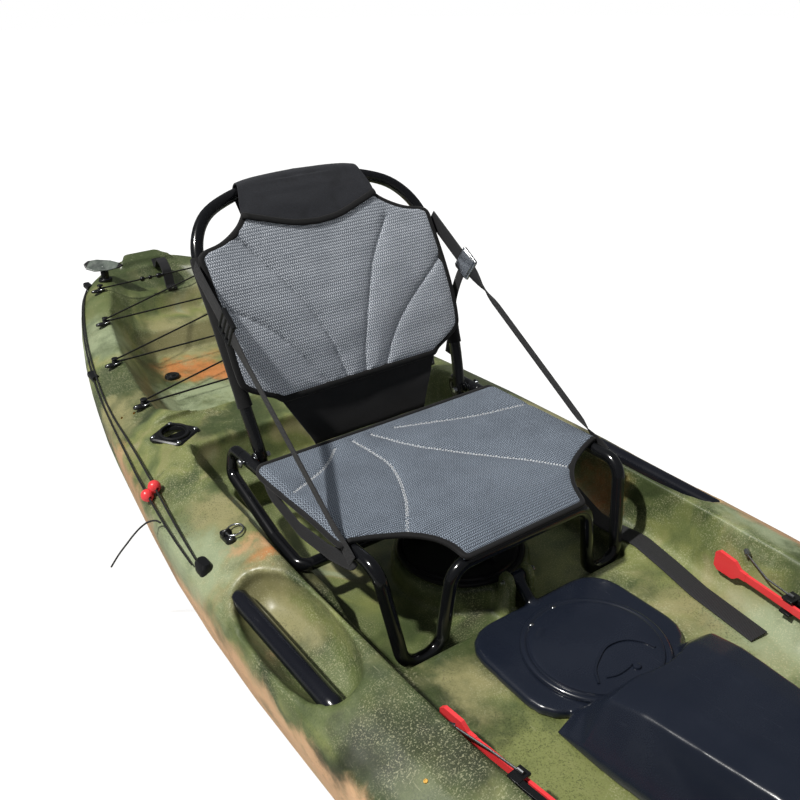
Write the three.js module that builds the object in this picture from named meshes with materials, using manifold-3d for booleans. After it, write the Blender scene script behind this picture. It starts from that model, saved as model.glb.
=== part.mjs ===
// Sit-on-top fishing kayak with a framed mesh seat. Millimetres, +Z up, bow towards -Y, stern towards +Y.
// The origin is on the flat of the hull's bottom, halfway along the hull.
import * as THREE from 'three';
import { mergeVertices } from 'three/addons/utils/BufferGeometryUtils.js';
import Module from 'manifold-3d';

const wasm = await Module();
wasm.setup();

// Hull
const hullLength = 3200;
const hullBeam = 860;
const hullDepth = 283;
const hullWall = 6;
const gunwaleDrop = 55;
const deckCrown = 6;
const seatGap = 0.3;
const hullStations = 30;
const cavityStations = 16;
const overrun = 200;
const stemInset = 34;

// Wells and recesses moulded into the hull
const footFloor = 180;
const benchFloor = 209;
const pitFloor = 150;
const pitSideGap = 4;
const pitFrontY = 12;
const pitRearY = 560;
const pitCorner = 22;
const troughFloor = 135;
const saddleFloor = 282;
const bowlOut = 58;
const bowlY = 95;
const bowlZ = 264;
const bowlHalfLength = 152;
const bowlHalfWidth = 60;
const bowlDepth = 56;
const bowlTilt = 26 * Math.PI / 180;
const scupperRadius = 14;

// Round hatches
const hatchRadius = 110;
const hatchBore = 97;
const hatchPlug = 94;
const hatchThickness = 9;
const hatchSkirt = 11;
const consoleHatchY = -135;
const pitHatchY = 178;
const pitHatchTop = 195;
const pitBossRadius = 119;

// Console
const consoleTop = 196;
const consoleRearY = 5;
const consoleWidth = 292;
const consoleShoulderY = -205;
const consoleCorner = 58;
const consoleChamfer = 6;
const pinRadius = 3;
const pinZ = 222;
const pinY = 37;
const pinLength = 66;
const lugThickness = 14;
const lugGap = 28;
const lugDepth = 34;
const tongueRadius = 10;
const runningGap = 0.4;

// Seat
const tubeRadius = 11;
const seatInset = 183;
const railRearZ = 321.5;
const railFrontZ = 331;
const railRearY = 475;
const railFrontY = 62;
const footOuterInset = 23;
const footInnerInset = 90;
const footY = 31;
const crossInset = 110;
const crossZ = 306;
const legOffset = 15;
const hingeY = 457;
const hingeZ = 322;
const hingeInset = 25;
const boltRadius = 4;
const panOverhang = 10;
const panRearY = 402;
const panSideY = 134;
const panFrontY = 19;
const panDrop = 26;
const strapWidth = 38;
const strapThickness = 2;

// Deck fittings
const rodPlateHalf = 52;
const rodPlateThickness = 7;
const rodBore = 22;
const rodTubeWall = 3;
const rodTubeLength = 150;
const rodTilt = 30 * Math.PI / 180;
const rodInset = 142;
const hookBaseLength = 34;
const hookBaseWidth = 18;
const hookBaseThickness = 5;
const hookStemRadius = 3.4;
const hookStemHeight = 14;
const hookCapRadius = 7.5;
const bungeeRadius = 2.6;
const lineRadius = 1.9;
const beadRadius = 9.5;
const carryBarRadius = 15;

// Foot braces
const braceY = -258;
const braceZ = 232;
const braceLength = 470;
const braceHeight = 26;
const braceThickness = 10;
const carriageLength = 90;
const carriageOffset = 340;
const pedalHeight = 150;
const pedalWidth = 84;
const pedalThickness = 12;
const leverHeight = 12;
const leverThickness = 5;
const paddleHeight = 36;
const paddleLength = 62;

// Rudder
const bracketThickness = 5;
const rudderPivotZ = 262;
const rudderPostReach = 30;
const rudderArm = 44;
const rudderPinRadius = 4;
const rudderBladeLength = 236;
const rudderBladeWidth = 112;
const rudderBladeThickness = 8;

const halfLength = hullLength / 2;
const halfBeam = hullBeam / 2;

// Places along the hull, as shares of its half length.
const saddleFrontShare = 0.39375;
const saddleRearShare = 0.46875;
const rodShare = 0.430625;
const scupperSternShare = 0.71875;
const scupperBowShare = -0.4;
const scupperSternBeamShare = 0.2558;
const scupperBowBeamShare = 0.4;
const lineCapShare = 0.20125;
const sleeveFrontShare = 0.67;
const lineRearShare = 0.95;
const beadShares = [0.365625, 0.3425];
const postShare = 0.925;
const sternHandleShares = [0.8825, 0.945];
const bowHandleShares = [-0.965625, -0.8875];
const saddleFrontY = saddleFrontShare * halfLength;
const saddleRearY = saddleRearShare * halfLength;
const rodY = rodShare * halfLength;
const scupperSternY = scupperSternShare * halfLength;
const scupperBowY = scupperBowShare * halfLength;
const scupperSternX = scupperSternBeamShare * halfBeam;
const scupperBowX = scupperBowBeamShare * halfBeam;
const railX = halfBeam - seatInset;
const footOuterX = railX - footOuterInset;
const footInnerX = railX - footInnerInset;
const crossX = railX - crossInset;
const legX = railX + legOffset;
const hingeX = railX - hingeInset;
const panHalfWidth = railX + panOverhang;
const pitHalfWidth = railX - pitSideGap;
const bowlX = halfBeam - bowlOut;
const rodX = halfBeam - rodInset;
const rudderPostY = halfLength + rudderPostReach;

// Shares along the half length, from the bow (-1) to the stern (1), of the half beam and of the depth.
const beamShares = [[-1, 0.024], [-0.99, 0.098], [-0.975, 0.167], [-0.9375, 0.279], [-0.875, 0.414],
  [-0.781, 0.565], [-0.656, 0.709], [-0.531, 0.821], [-0.375, 0.923], [-0.219, 0.979], [-0.0625, 1],
  [0.094, 1], [0.25, 0.977], [0.375, 0.93], [0.4475, 0.891], [0.586, 0.819], [0.744, 0.693],
  [0.875, 0.542], [0.9275, 0.458], [0.9625, 0.36], [0.9875, 0.233], [1, 0.105]];
const keelShares = [[-1, 0.76], [-0.99, 0.583], [-0.975, 0.424], [-0.9375, 0.254], [-0.875, 0.127],
  [-0.781, 0.05], [-0.656, 0.011], [-0.5625, 0], [0.5625, 0], [0.6875, 0.014], [0.8125, 0.05],
  [0.9, 0.141], [0.956, 0.265], [0.9875, 0.389], [1, 0.495]];
const sheerShares = [[-1, 1.385], [-0.875, 1.265], [-0.6875, 1.124], [-0.4375, 1.018], [-0.125, 1],
  [0.125, 1], [0.406, 1.042], [0.625, 1.081], [0.8125, 1.148], [0.9375, 1.205], [1, 1.223]];
const dropShares = [[-1, 0.35], [-0.8, 0.6], [-0.4, 1], [0.5, 1], [0.8, 0.85], [1, 0.5]];
// Section from the keel out and up to the gunwale, then over the side deck: shares of half beam and of height.
const sideShares = [[0, 0], [0.3, 0], [0.52, 0], [0.72, 0.05], [0.86, 0.18], [0.945, 0.42], [0.985, 0.7],
  [1, 0.9], [0.995, 1]];
const deckShares = [[0.95, 0.3], [0.86, 0.68], [0.72, 1], [0.45, 1]];
// Wells, as rows along the hull: place, half width at the deck, half width at the floor, floor height.
const cockpitShares = [[-0.631, 0.256, 0.14, 1.2], [-0.616, 0.349, 0.221, 0.926], [-0.594, 0.442, 0.302, 0.707],
  [-0.5625, 0.516, 0.372, 0.643], [-0.5, 0.581, 0.4535, 0.636], [-0.375, 0.651, 0.512, 0.636],
  [-0.281, 0.691, 0.54, 0.636], [-0.1875, 0.712, 0.565, 0.636], [-0.147, 0.716, 0.609, 0.636],
  [-0.073, 0.719, 0.651, 0.636], [0.0175, 0.719, 0.693, 0.636], [0.094, 0.719, 0.693, 0.643],
  [0.125, 0.716, 0.688, 0.7385], [0.25, 0.707, 0.674, 0.7385], [0.35, 0.693, 0.656, 0.7385],
  [0.375, 0.679, 0.628, 0.756], [0.3925, 0.6605, 0.595, 0.926], [0.403, 0.642, 0.572, 1.13]];
const tankShares = [[0.4575, 0.558, 0.493, 1.166], [0.476, 0.6, 0.474, 0.912], [0.5, 0.663, 0.4535, 0.643],
  [0.544, 0.651, 0.442, 0.636], [0.586, 0.635, 0.421, 0.636], [0.655, 0.595, 0.384, 0.636],
  [0.76, 0.505, 0.305, 0.636], [0.797, 0.458, 0.2605, 0.643], [0.819, 0.428, 0.242, 0.841],
  [0.844, 0.391, 0.214, 0.869], [0.8625, 0.363, 0.2, 0.89], [0.881, 0.3395, 0.186, 1.046],
  [0.906, 0.302, 0.163, 1.074], [0.9375, 0.233, 0.116, 1.184], [0.953, 0.209, 0.105, 1.343]];
const troughShares = [[-0.494, 0.298, 0.4], [-0.481, 0.298, 0.423], [-0.375, 0.302, 0.484],
  [-0.3125, 0.316, 0.502], [-0.281, 0.349, 0.516], [-0.27, 0.363, 0.516]];
// Raised pod: place, half width at the floor, half width at the top, height of the top.
const podShares = [[-0.128, 0.3395, 0.279, 0.707], [-0.139, 0.34, 0.2605, 0.8], [-0.156, 0.34, 0.244, 0.926],
  [-0.1875, 0.338, 0.2326, 0.975], [-0.294, 0.293, 0.191, 1.007], [-0.3875, 0.274, 0.167, 0.989],
  [-0.4375, 0.251, 0.144, 0.926], [-0.459, 0.228, 0.121, 0.813], [-0.47, 0.209, 0.105, 0.657]];

const V = (x, y, z) => new THREE.Vector3(x, y, z);

// Shape-preserving cubic through a table of [place, value].
function curve(table, u) {
  const last = table.length - 1;
  if (u <= table[0][0]) return table[0][1];
  if (u >= table[last][0]) return table[last][1];
  let i = 0;
  while (u > table[i + 1][0]) i += 1;
  const slope = (k) => (table[k + 1][1] - table[k][1]) / (table[k + 1][0] - table[k][0]);
  const tangent = (k) => {
    if (k === 0) return slope(0);
    if (k === last) return slope(last - 1);
    const a = slope(k - 1);
    const b = slope(k);
    return a * b <= 0 ? 0 : 2 * a * b / (a + b);
  };
  const h = table[i + 1][0] - table[i][0];
  const t = (u - table[i][0]) / h;
  const a = table[i][1];
  const b = table[i + 1][1];
  return a * (1 + 2 * t) * (1 - t) ** 2 + b * t * t * (3 - 2 * t)
    + h * tangent(i) * t * (1 - t) ** 2 + h * tangent(i + 1) * t * t * (t - 1);
}

const halfBeamAt = (y) => halfBeam * curve(beamShares, y / halfLength);
const keelAt = (y) => hullDepth * curve(keelShares, y / halfLength);
const crestAt = (y) => hullDepth * curve(sheerShares, y / halfLength);
const gunwaleAt = (y) => crestAt(y) - gunwaleDrop * curve(dropShares, y / halfLength);

// Height of the bare deck at a place, before any well is cut.
function deckAt(x, y) {
  const share = Math.min(Math.abs(x) / halfBeamAt(y), 0.995);
  const low = gunwaleAt(y);
  const rows = [[0, 1], ...deckShares.slice().reverse().slice(1), [0.995, 0]];
  let i = 0;
  while (share > rows[i + 1][0]) i += 1;
  const t = (share - rows[i][0]) / (rows[i + 1][0] - rows[i][0]);
  return low + (crestAt(y) - low) * (rows[i][1] * (1 - t) + rows[i + 1][1] * t);
}

// One closed body from vertices and triangles, turned right side out.
function solidFrom(points, faces) {
  let volume = 0;
  for (const [a, b, c] of faces) volume += points[a].dot(points[b].clone().cross(points[c]));
  const out = volume < 0 ? faces.map(([a, b, c]) => [a, c, b]) : faces;
  const vertProperties = new Float32Array(points.flatMap((p) => [p.x, p.y, p.z]));
  return new wasm.Manifold(new wasm.Mesh({ numProp: 3, vertProperties, triVerts: new Uint32Array(out.flat()) }));
}

// Body through a row of rings, which all have the same number of points, closed by a fan at each end.
function loft(rings) {
  const n = rings[0].length;
  const points = rings.flat();
  const faces = [];
  for (let r = 0; r + 1 < rings.length; r += 1) {
    for (let i = 0; i < n; i += 1) {
      const a = r * n + i;
      const b = r * n + (i + 1) % n;
      faces.push([a, b, b + n], [a, b + n, a + n]);
    }
  }
  for (const [ring, base, flip] of [[rings[0], 0, true], [rings.at(-1), (rings.length - 1) * n, false]]) {
    const middle = ring.reduce((sum, p) => sum.add(p), V(0, 0, 0)).divideScalar(n);
    points.push(middle);
    const hub = points.length - 1;
    for (let i = 0; i < n; i += 1) {
      const j = (i + 1) % n;
      faces.push(flip ? [base + j, base + i, hub] : [base + i, base + j, hub]);
    }
  }
  return solidFrom(points, faces);
}

function solidOf(geometry) {
  const bare = geometry.clone();
  for (const key of Object.keys(bare.attributes)) if (key !== 'position') bare.deleteAttribute(key);
  const merged = mergeVertices(bare.index ? bare.toNonIndexed() : bare, 0.0005);
  const at = merged.attributes.position;
  const points = [];
  for (let i = 0; i < at.count; i += 1) points.push(V(at.getX(i), at.getY(i), at.getZ(i)));
  const faces = [];
  for (let i = 0; i < merged.index.count; i += 3) {
    const face = [merged.index.getX(i), merged.index.getX(i + 1), merged.index.getX(i + 2)];
    if (new Set(face).size === 3) faces.push(face);
  }
  return solidFrom(points, faces);
}

function geometryOf(solid) {
  const mesh = solid.getMesh();
  const points = [];
  for (let i = 0; i < mesh.vertProperties.length; i += mesh.numProp) {
    points.push(mesh.vertProperties[i], mesh.vertProperties[i + 1], mesh.vertProperties[i + 2]);
  }
  const geometry = new THREE.BufferGeometry();
  geometry.setAttribute('position', new THREE.Float32BufferAttribute(points, 3));
  geometry.setIndex(Array.from(mesh.triVerts));
  geometry.computeVertexNormals();
  return geometry;
}

function moved(solid, shift) {
  const geometry = geometryOf(solid);
  geometry.translate(shift.x, shift.y, shift.z);
  return solidOf(geometry);
}

const union = (list) => list.reduce((whole, piece) => whole.add(piece));
const without = (solid, list) => list.reduce((rest, piece) => rest.subtract(piece), solid);

// Cylinder from one point to another.
function rod(from, to, radius, sides = 16) {
  const axis = to.clone().sub(from);
  const geometry = new THREE.CylinderGeometry(radius, radius, axis.length(), sides);
  geometry.applyQuaternion(new THREE.Quaternion().setFromUnitVectors(V(0, 1, 0), axis.clone().normalize()));
  const middle = from.clone().add(to).multiplyScalar(0.5);
  geometry.translate(middle.x, middle.y, middle.z);
  return solidOf(geometry);
}

function block(low, high) {
  const size = high.clone().sub(low);
  const middle = high.clone().add(low).multiplyScalar(0.5);
  return solidOf(new THREE.BoxGeometry(size.x, size.y, size.z).translate(middle.x, middle.y, middle.z));
}

// Turned body about +Z at a place.
function turned(profile, place, segments) {
  const geometry = new THREE.LatheGeometry(profile.map(([r, z]) => new THREE.Vector2(r, z)), segments);
  geometry.rotateX(Math.PI / 2);
  geometry.translate(place.x, place.y, place.z);
  return solidOf(geometry);
}

// Outline with rounded corners; every corner gives the same number of points.
function rounded(corners, radius, arcSteps = 4) {
  const out = [];
  corners.forEach((corner, i) => {
    const b = V(corner[0], corner[1], 0);
    const before = corners.at(i - 1);
    const after = corners[(i + 1) % corners.length];
    const u = V(before[0], before[1], 0).sub(b);
    const v = V(after[0], after[1], 0).sub(b);
    const reach = Math.min(u.length(), v.length()) * 0.49;
    u.normalize();
    v.normalize();
    const half = u.angleTo(v) / 2;
    const run = Math.min(radius / Math.tan(half), reach);
    const r = run * Math.tan(half);
    const hub = b.clone().add(u.clone().add(v).normalize().multiplyScalar(r / Math.sin(half)));
    const p = b.clone().add(u.multiplyScalar(run)).sub(hub);
    const q = b.clone().add(v.multiplyScalar(run)).sub(hub);
    const sweep = p.angleTo(q);
    for (let k = 0; k <= arcSteps; k += 1) {
      const t = k / arcSteps;
      const w = p.clone().multiplyScalar(Math.sin((1 - t) * sweep) / Math.sin(sweep))
        .add(q.clone().multiplyScalar(Math.sin(t * sweep) / Math.sin(sweep)));
      out.push(hub.clone().add(w));
    }
  });
  return out;
}

const atHeight = (outline, z) => outline.map((p) => V(p.x, p.y, z));
const rectangle = (x, y, halfX, halfY) => [[x - halfX, y - halfY], [x + halfX, y - halfY],
  [x + halfX, y + halfY], [x - halfX, y + halfY]];

// Polyline that an extrusion follows point by point.
class Route extends THREE.Curve {
  constructor(points) {
    super();
    this.points = points;
  }

  getPoint(t, target = new THREE.Vector3()) {
    const last = this.points.length - 1;
    const s = Math.max(0, Math.min(t, 1)) * last;
    const i = Math.min(Math.floor(s), last - 1);
    return target.lerpVectors(this.points[i], this.points[i + 1], s - i);
  }

  getUtoTmapping(u) {
    return u;
  }

  getTangent(t, target = new THREE.Vector3()) {
    const last = this.points.length - 1;
    const k = Math.round(t * last);
    const here = this.points[k];
    const back = here.clone().sub(this.points[Math.max(k - 1, 0)]).normalize();
    const on = this.points[Math.min(k + 1, last)].clone().sub(here).normalize();
    return target.copy(back).add(on).normalize();
  }
}

// Corners joined by arcs.
function bent(corners, radius, arcSteps = 5) {
  const out = [corners[0].clone()];
  for (let i = 1; i + 1 < corners.length; i += 1) {
    const b = corners[i];
    const u = corners[i - 1].clone().sub(b);
    const v = corners[i + 1].clone().sub(b);
    const reach = Math.min(u.length(), v.length()) * 0.48;
    u.normalize();
    v.normalize();
    const angle = u.angleTo(v);
    if (angle > Math.PI * 0.97) {
      out.push(b.clone());
    } else {
      const run = Math.min(radius / Math.tan(angle / 2), reach);
      const r = run * Math.tan(angle / 2);
      const hub = b.clone().add(u.clone().add(v).normalize().multiplyScalar(r / Math.sin(angle / 2)));
      const p = b.clone().add(u.clone().multiplyScalar(run)).sub(hub);
      const q = b.clone().add(v.clone().multiplyScalar(run)).sub(hub);
      const sweep = p.angleTo(q);
      for (let k = 0; k <= arcSteps; k += 1) {
        const t = k / arcSteps;
        const w = p.clone().multiplyScalar(Math.sin((1 - t) * sweep) / Math.sin(sweep))
          .add(q.clone().multiplyScalar(Math.sin(t * sweep) / Math.sin(sweep)));
        out.push(hub.clone().add(w));
      }
    }
  }
  out.push(corners.at(-1).clone());
  return out;
}

function tube(points, radius, sides) {
  const section = [];
  for (let i = 0; i < sides; i += 1) {
    const a = 2 * Math.PI * i / sides;
    section.push(new THREE.Vector2(radius * Math.cos(a), radius * Math.sin(a)));
  }
  return solidOf(new THREE.ExtrudeGeometry(new THREE.Shape(section), {
    steps: points.length - 1, bevelEnabled: false, extrudePath: new Route(points),
  }));
}

// Flat band along a path; side gives the direction of its width at each point.
function band(path, side, width, thickness) {
  const route = new Route(path);
  return loft(path.map((p, i) => {
    const along = route.getTangent(i / (path.length - 1));
    const across = (Array.isArray(side) ? side[i] : side).clone();
    across.sub(along.clone().multiplyScalar(across.dot(along))).normalize().multiplyScalar(width / 2);
    const up = along.clone().cross(across).normalize().multiplyScalar(thickness / 2);
    return [p.clone().add(across).add(up), p.clone().sub(across).add(up),
      p.clone().sub(across).sub(up), p.clone().add(across).sub(up)];
  }));
}

// Hull section at a place, drawn in from the skin by the inset.
function hullRing(y, inset) {
  const half = halfBeamAt(y) - inset;
  const keel = keelAt(y) + inset;
  const low = gunwaleAt(y) - inset;
  const crest = crestAt(y) - inset;
  const right = [];
  for (const [x, z] of sideShares.slice(1)) right.push(V(half * x, y, keel + (low - keel) * z));
  for (const [x, z] of deckShares) right.push(V(half * x, y, low + (crest - low) * z));
  const left = right.map((p) => V(-p.x, y, p.z)).reverse();
  return [V(0, y, keel), ...right, V(0, y, crest + deckCrown), ...left];
}

function hullBody(stations, inset) {
  const rings = [];
  for (let i = 0; i <= stations; i += 1) {
    const share = Math.sin(Math.PI / 2 * (2 * i / stations - 1));
    rings.push(hullRing(share * (halfLength - (inset > 0 ? stemInset : 0)), inset));
  }
  return loft(rings);
}

// Well cut along the hull, grown by a wall's thickness for the hollow under it.
function basin(shares, grow) {
  const middle = halfLength * (shares[0][0] + shares.at(-1)[0]) / 2;
  const brim = hullDepth + overrun;
  return loft(shares.map(([place, deckShare, floorShare, heightShare]) => {
    const y = place * halfLength;
    const top = deckShare * halfBeam + grow;
    const floor = floorShare * halfBeam + grow;
    const z = heightShare * hullDepth - grow;
    const crest = Math.max(crestAt(y), z + hullWall);
    const rise = crest - z;
    const fillet = Math.min(floor, hullWall * 2);
    const at = y + grow * Math.sign(y - middle);
    const right = [V(top, at, brim), V(top, at, crest), V(floor + (top - floor) * 0.35, at, z + rise * 0.24),
      V(floor, at, z + rise * 0.07), V(floor - fillet, at, z)];
    return [...right, ...right.map((p) => V(-p.x, at, p.z)).reverse()];
  }));
}

function seatPit(grow) {
  const middle = (pitFrontY + pitRearY) / 2;
  const outline = rounded(rectangle(0, middle, pitHalfWidth + grow, (pitRearY - pitFrontY) / 2 + grow),
    pitCorner + grow);
  return loft([atHeight(outline, pitFloor - grow), atHeight(outline, benchFloor + hullWall * 3)]);
}

function saddle(grow) {
  const low = V(-halfBeam - overrun, saddleFrontY - grow, saddleFloor - grow);
  return block(low, V(halfBeam + overrun, saddleRearY + grow, hullDepth + overrun));
}

function heelTrough(side, grow) {
  return loft(troughShares.map(([place, innerShare, outerShare], i) => {
    const at = place * halfLength + grow * (i < troughShares.length / 2 ? -1 : 1);
    const inner = side * (innerShare * halfBeam - grow);
    const outer = side * (outerShare * halfBeam + grow);
    const brim = footFloor + hullWall * 3;
    return [V(inner, at, brim), V(inner, at, troughFloor - grow), V(outer, at, troughFloor - grow),
      V(outer, at, brim)];
  }));
}

// Oval hand recess, square to the slope of the side deck.
function handBowl(side, grow) {
  const levelShares = [[-0.3, 1, 1], [0.4, 0.965, 0.92], [0.8, 0.87, 0.72], [1, 0.74, 0.42]];
  const steps = 16;
  const rings = levelShares.map(([depthShare, lengthShare, widthShare]) => {
    const ring = [];
    for (let i = 0; i < steps; i += 1) {
      const a = 2 * Math.PI * i / steps;
      const c = Math.cos(a);
      const s = Math.sin(a);
      const k = 1 / (Math.abs(c) ** 2.5 + Math.abs(s) ** 2.5) ** 0.4;
      const p = V((bowlHalfWidth * widthShare + grow) * k * c, (bowlHalfLength * lengthShare + grow) * k * s,
        -bowlDepth * depthShare - (depthShare > 0 ? grow : 0));
      p.applyAxisAngle(V(0, 1, 0), side * bowlTilt);
      ring.push(p.add(V(side * bowlX, bowlY, bowlZ)));
    }
    return ring;
  });
  return loft(rings);
}

const wells = (grow) => [basin(cockpitShares, grow), seatPit(grow), basin(tankShares, grow), saddle(grow),
  heelTrough(1, grow), heelTrough(-1, grow), handBowl(1, grow), handBowl(-1, grow)];

const scuppers = [1, -1].flatMap((side) => [V(side * scupperSternX, scupperSternY, -overrun),
  V(side * scupperBowX, scupperBowY, -overrun)]);
const drilled = (grow) => scuppers.map((p) => rod(p, V(p.x, p.y, footFloor + hullWall), scupperRadius + grow, 12));

const hatchHoles = [
  rod(V(0, consoleHatchY, pitFloor - hullWall * 3), V(0, consoleHatchY, footFloor + hullWall), hatchBore, 20),
  rod(V(0, pitHatchY, pitFloor - hullWall * 3), V(0, pitHatchY, pitHatchTop + hullWall), hatchBore, 20),
];

const lugLowZ = pitFloor - hullWall / 2;
const lugs = [1, -1].map((side) => {
  const inner = side * lugGap / 2;
  const outer = side * (lugGap / 2 + lugThickness);
  const lugFront = pinY - lugDepth / 2;
  const lugRear = pinY + lugDepth / 2;
  const lugTop = pinZ + lugThickness;
  const ring = (x) => [V(x, lugFront, lugLowZ), V(x, lugRear, lugLowZ), V(x, lugRear, pinZ),
    V(x, pinY + lugDepth / 4, lugTop), V(x, pinY - lugDepth / 4, lugTop), V(x, lugFront, pinZ)];
  return loft([ring(Math.min(inner, outer)), ring(Math.max(inner, outer))]);
});
const pinBore = rod(V(-pinLength, pinY, pinZ), V(pinLength, pinY, pinZ), pinRadius + runningGap, 12);

const pitBoss = rod(V(0, pitHatchY, lugLowZ), V(0, pitHatchY, pitHatchTop), pitBossRadius, 20);

// Raised facet that the stern deck ends in.
const sternFacetShares = [[0.952, 0.2, 0.99], [0.958, 0.19, 1.035], [0.984, 0.12, 1.05], [0.991, 0.1, 0.99]];
const sternFacet = loft(sternFacetShares.map(([place, widthShare, heightShare]) => {
  const y = place * halfLength;
  const x = widthShare * halfBeam;
  const z = heightShare * crestAt(y) + deckCrown;
  return [V(-x, y, crestAt(y) - hullWall), V(x, y, crestAt(y) - hullWall), V(x * 0.85, y, z), V(-x * 0.85, y, z)];
}));

// The hull without its hollow: what fittings seat on.
const hullBlock = union([without(hullBody(hullStations, 0), wells(0)), pitBoss, sternFacet, ...lugs]);
const hollow = without(hullBody(cavityStations, hullWall), [...wells(hullWall), ...drilled(hullWall)]);
const rodAxis = (side) => V(side * 0.12, Math.sin(rodTilt), Math.cos(rodTilt)).normalize();
const rodTop = (side) => V(side * rodX, rodY, saddleFloor);
const rodReach = (side, length) => rodTop(side).sub(rodAxis(side).multiplyScalar(length));
const rodOuter = rodBore + rodTubeWall;
const rodHoles = [1, -1].map((side) => rod(rodReach(side, hullWall * 6),
  rodTop(side).add(rodAxis(side).multiplyScalar(hullWall * 6)), rodOuter + seatGap * 2, 16));
const hullSolid = without(hullBlock, [hollow, ...hatchHoles, ...drilled(0), ...rodHoles, pinBore]);
const hullRaised = moved(hullBlock, V(0, 0, seatGap));
const onDeck = (piece) => piece.subtract(hullRaised);

const paint = (color, roughness, metalness) => new THREE.MeshStandardMaterial({ color, roughness, metalness });
const looks = {
  hull: paint(0x67703f, 0.42, 0),
  black: paint(0x15171a, 0.4, 0),
  frame: paint(0x101114, 0.25, 0.6),
  mesh: paint(0x7a8088, 0.8, 0),
  webbing: paint(0x232427, 0.85, 0),
  steel: paint(0xc9ccd0, 0.25, 1),
  brass: paint(0xb08a4a, 0.35, 1),
  red: paint(0xd8353a, 0.45, 0),
  leaf: paint(0x9aa09a, 0.4, 0),
};

const kayak = new THREE.Group();
function add(name, solid, look) {
  const mesh = new THREE.Mesh(solid.isBufferGeometry ? solid : geometryOf(solid), looks[look]);
  mesh.name = name;
  kayak.add(mesh);
  return mesh;
}

add('hull_shell', hullSolid, 'hull');

// Round lid with a rolled edge and a plug that drops into the bore.
function roundLid(place, radius, plug) {
  const lip = hatchThickness * 0.45;
  return turned([[0, -hatchSkirt], [plug - hullWall, -hatchSkirt], [plug, -hatchSkirt + lip], [plug, seatGap],
    [radius, seatGap], [radius, lip], [radius - lip, hatchThickness], [radius - lip * 2.4, hatchThickness],
    [radius - lip * 3, hatchThickness - lip / 2], [0, hatchThickness - lip / 2]], place, 20);
}
const lidPlace = V(0, consoleHatchY, consoleTop);
add('console_lid', roundLid(lidPlace, hatchRadius, hatchPlug), 'black');
add('seat_hatch_lid', roundLid(V(0, pitHatchY, pitHatchTop), hatchRadius, hatchPlug), 'black');

// Console: one black moulding with the hatch's plate, the raised pod and the pinned tongue.
const plateHalf = consoleWidth / 2;
const plateCornerShares = [[-0.98, 0], [0.98, 0], [1.02, 1], [-1.02, 1]];
const plateOutline = (inset) => rounded(plateCornerShares.map(([xShare, yShare]) => [
  xShare * (plateHalf - inset),
  consoleRearY - inset + yShare * (consoleShoulderY - consoleRearY + inset)]), consoleCorner - inset);
const plate = loft([atHeight(plateOutline(0), footFloor + seatGap),
  atHeight(plateOutline(0), consoleTop - consoleChamfer),
  atHeight(plateOutline(consoleChamfer), consoleTop)]);
const pod = loft(podShares.map(([place, floorShare, topShare, heightShare]) => {
  const y = place * halfLength;
  const floor = floorShare * halfBeam;
  const top = topShare * halfBeam;
  const z = heightShare * hullDepth;
  const foot = footFloor + seatGap;
  const right = [V(floor, y, foot), V(floor, y, foot + (z - foot) * 0.14), V(top, y, z - (z - foot) * 0.1),
    V(top * 0.55, y, z)];
  return [...right, ...right.map((p) => V(-p.x, y, p.z)).reverse()];
}));
const lidRoom = rod(V(0, consoleHatchY, consoleTop), V(0, consoleHatchY, consoleTop + overrun),
  hatchRadius + hullWall * 2, 24);
const tongue = tube(bent([V(0, consoleRearY - consoleCorner / 4, consoleTop - tongueRadius),
  V(0, consoleRearY + tongueRadius / 2, consoleTop + tongueRadius / 4), V(0, pinY, pinZ)], consoleCorner / 2, 4), tongueRadius, 12);
const tongueEye = rod(V(-lugGap / 2 + runningGap, pinY, pinZ), V(lugGap / 2 - runningGap, pinY, pinZ),
  tongueRadius, 16);
const lidShelf = rod(V(0, consoleHatchY, consoleTop - hullWall), V(0, consoleHatchY, consoleTop), hatchRadius, 20);
const consoleBore = rod(V(0, consoleHatchY, pitFloor), V(0, consoleHatchY, consoleTop + overrun), hatchBore, 20);
const consoleSolid = without(union([plate, pod.subtract(lidRoom), lidShelf, tongue, tongueEye]),
  [consoleBore, pinBore, hullRaised]);
add('console_pod', consoleSolid, 'black');
add('console_pin', rod(V(-pinLength / 2, pinY, pinZ), V(pinLength / 2, pinY, pinZ), pinRadius, 12), 'steel');

// Seat: base frame of one bent tube, from the starboard rail over both front legs to the port rail.
const footZ = pitFloor + seatGap + tubeRadius;
const crossY = footY - seatGap * 10;
const frameHalf = [V(railX, railRearY, railRearZ), V(railX, railFrontY, railFrontZ), V(footOuterX, footY, footZ),
  V(footInnerX, footY, footZ), V(crossX, crossY, crossZ)];
const mirrored = (list) => list.map((p) => V(-p.x, p.y, p.z));
const frameCorners = [...mirrored(frameHalf), ...frameHalf.slice().reverse()];
const boltHoles = [1, -1].map((side) => rod(V(side * (hingeX - tubeRadius * 2), hingeY, hingeZ),
  V(side * (railX + tubeRadius * 2), hingeY, hingeZ), boltRadius + runningGap, 12));
add('seat_base_frame', without(tube(bent(frameCorners, tubeRadius * 3, 3), tubeRadius, 8), boltHoles), 'frame');

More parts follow.
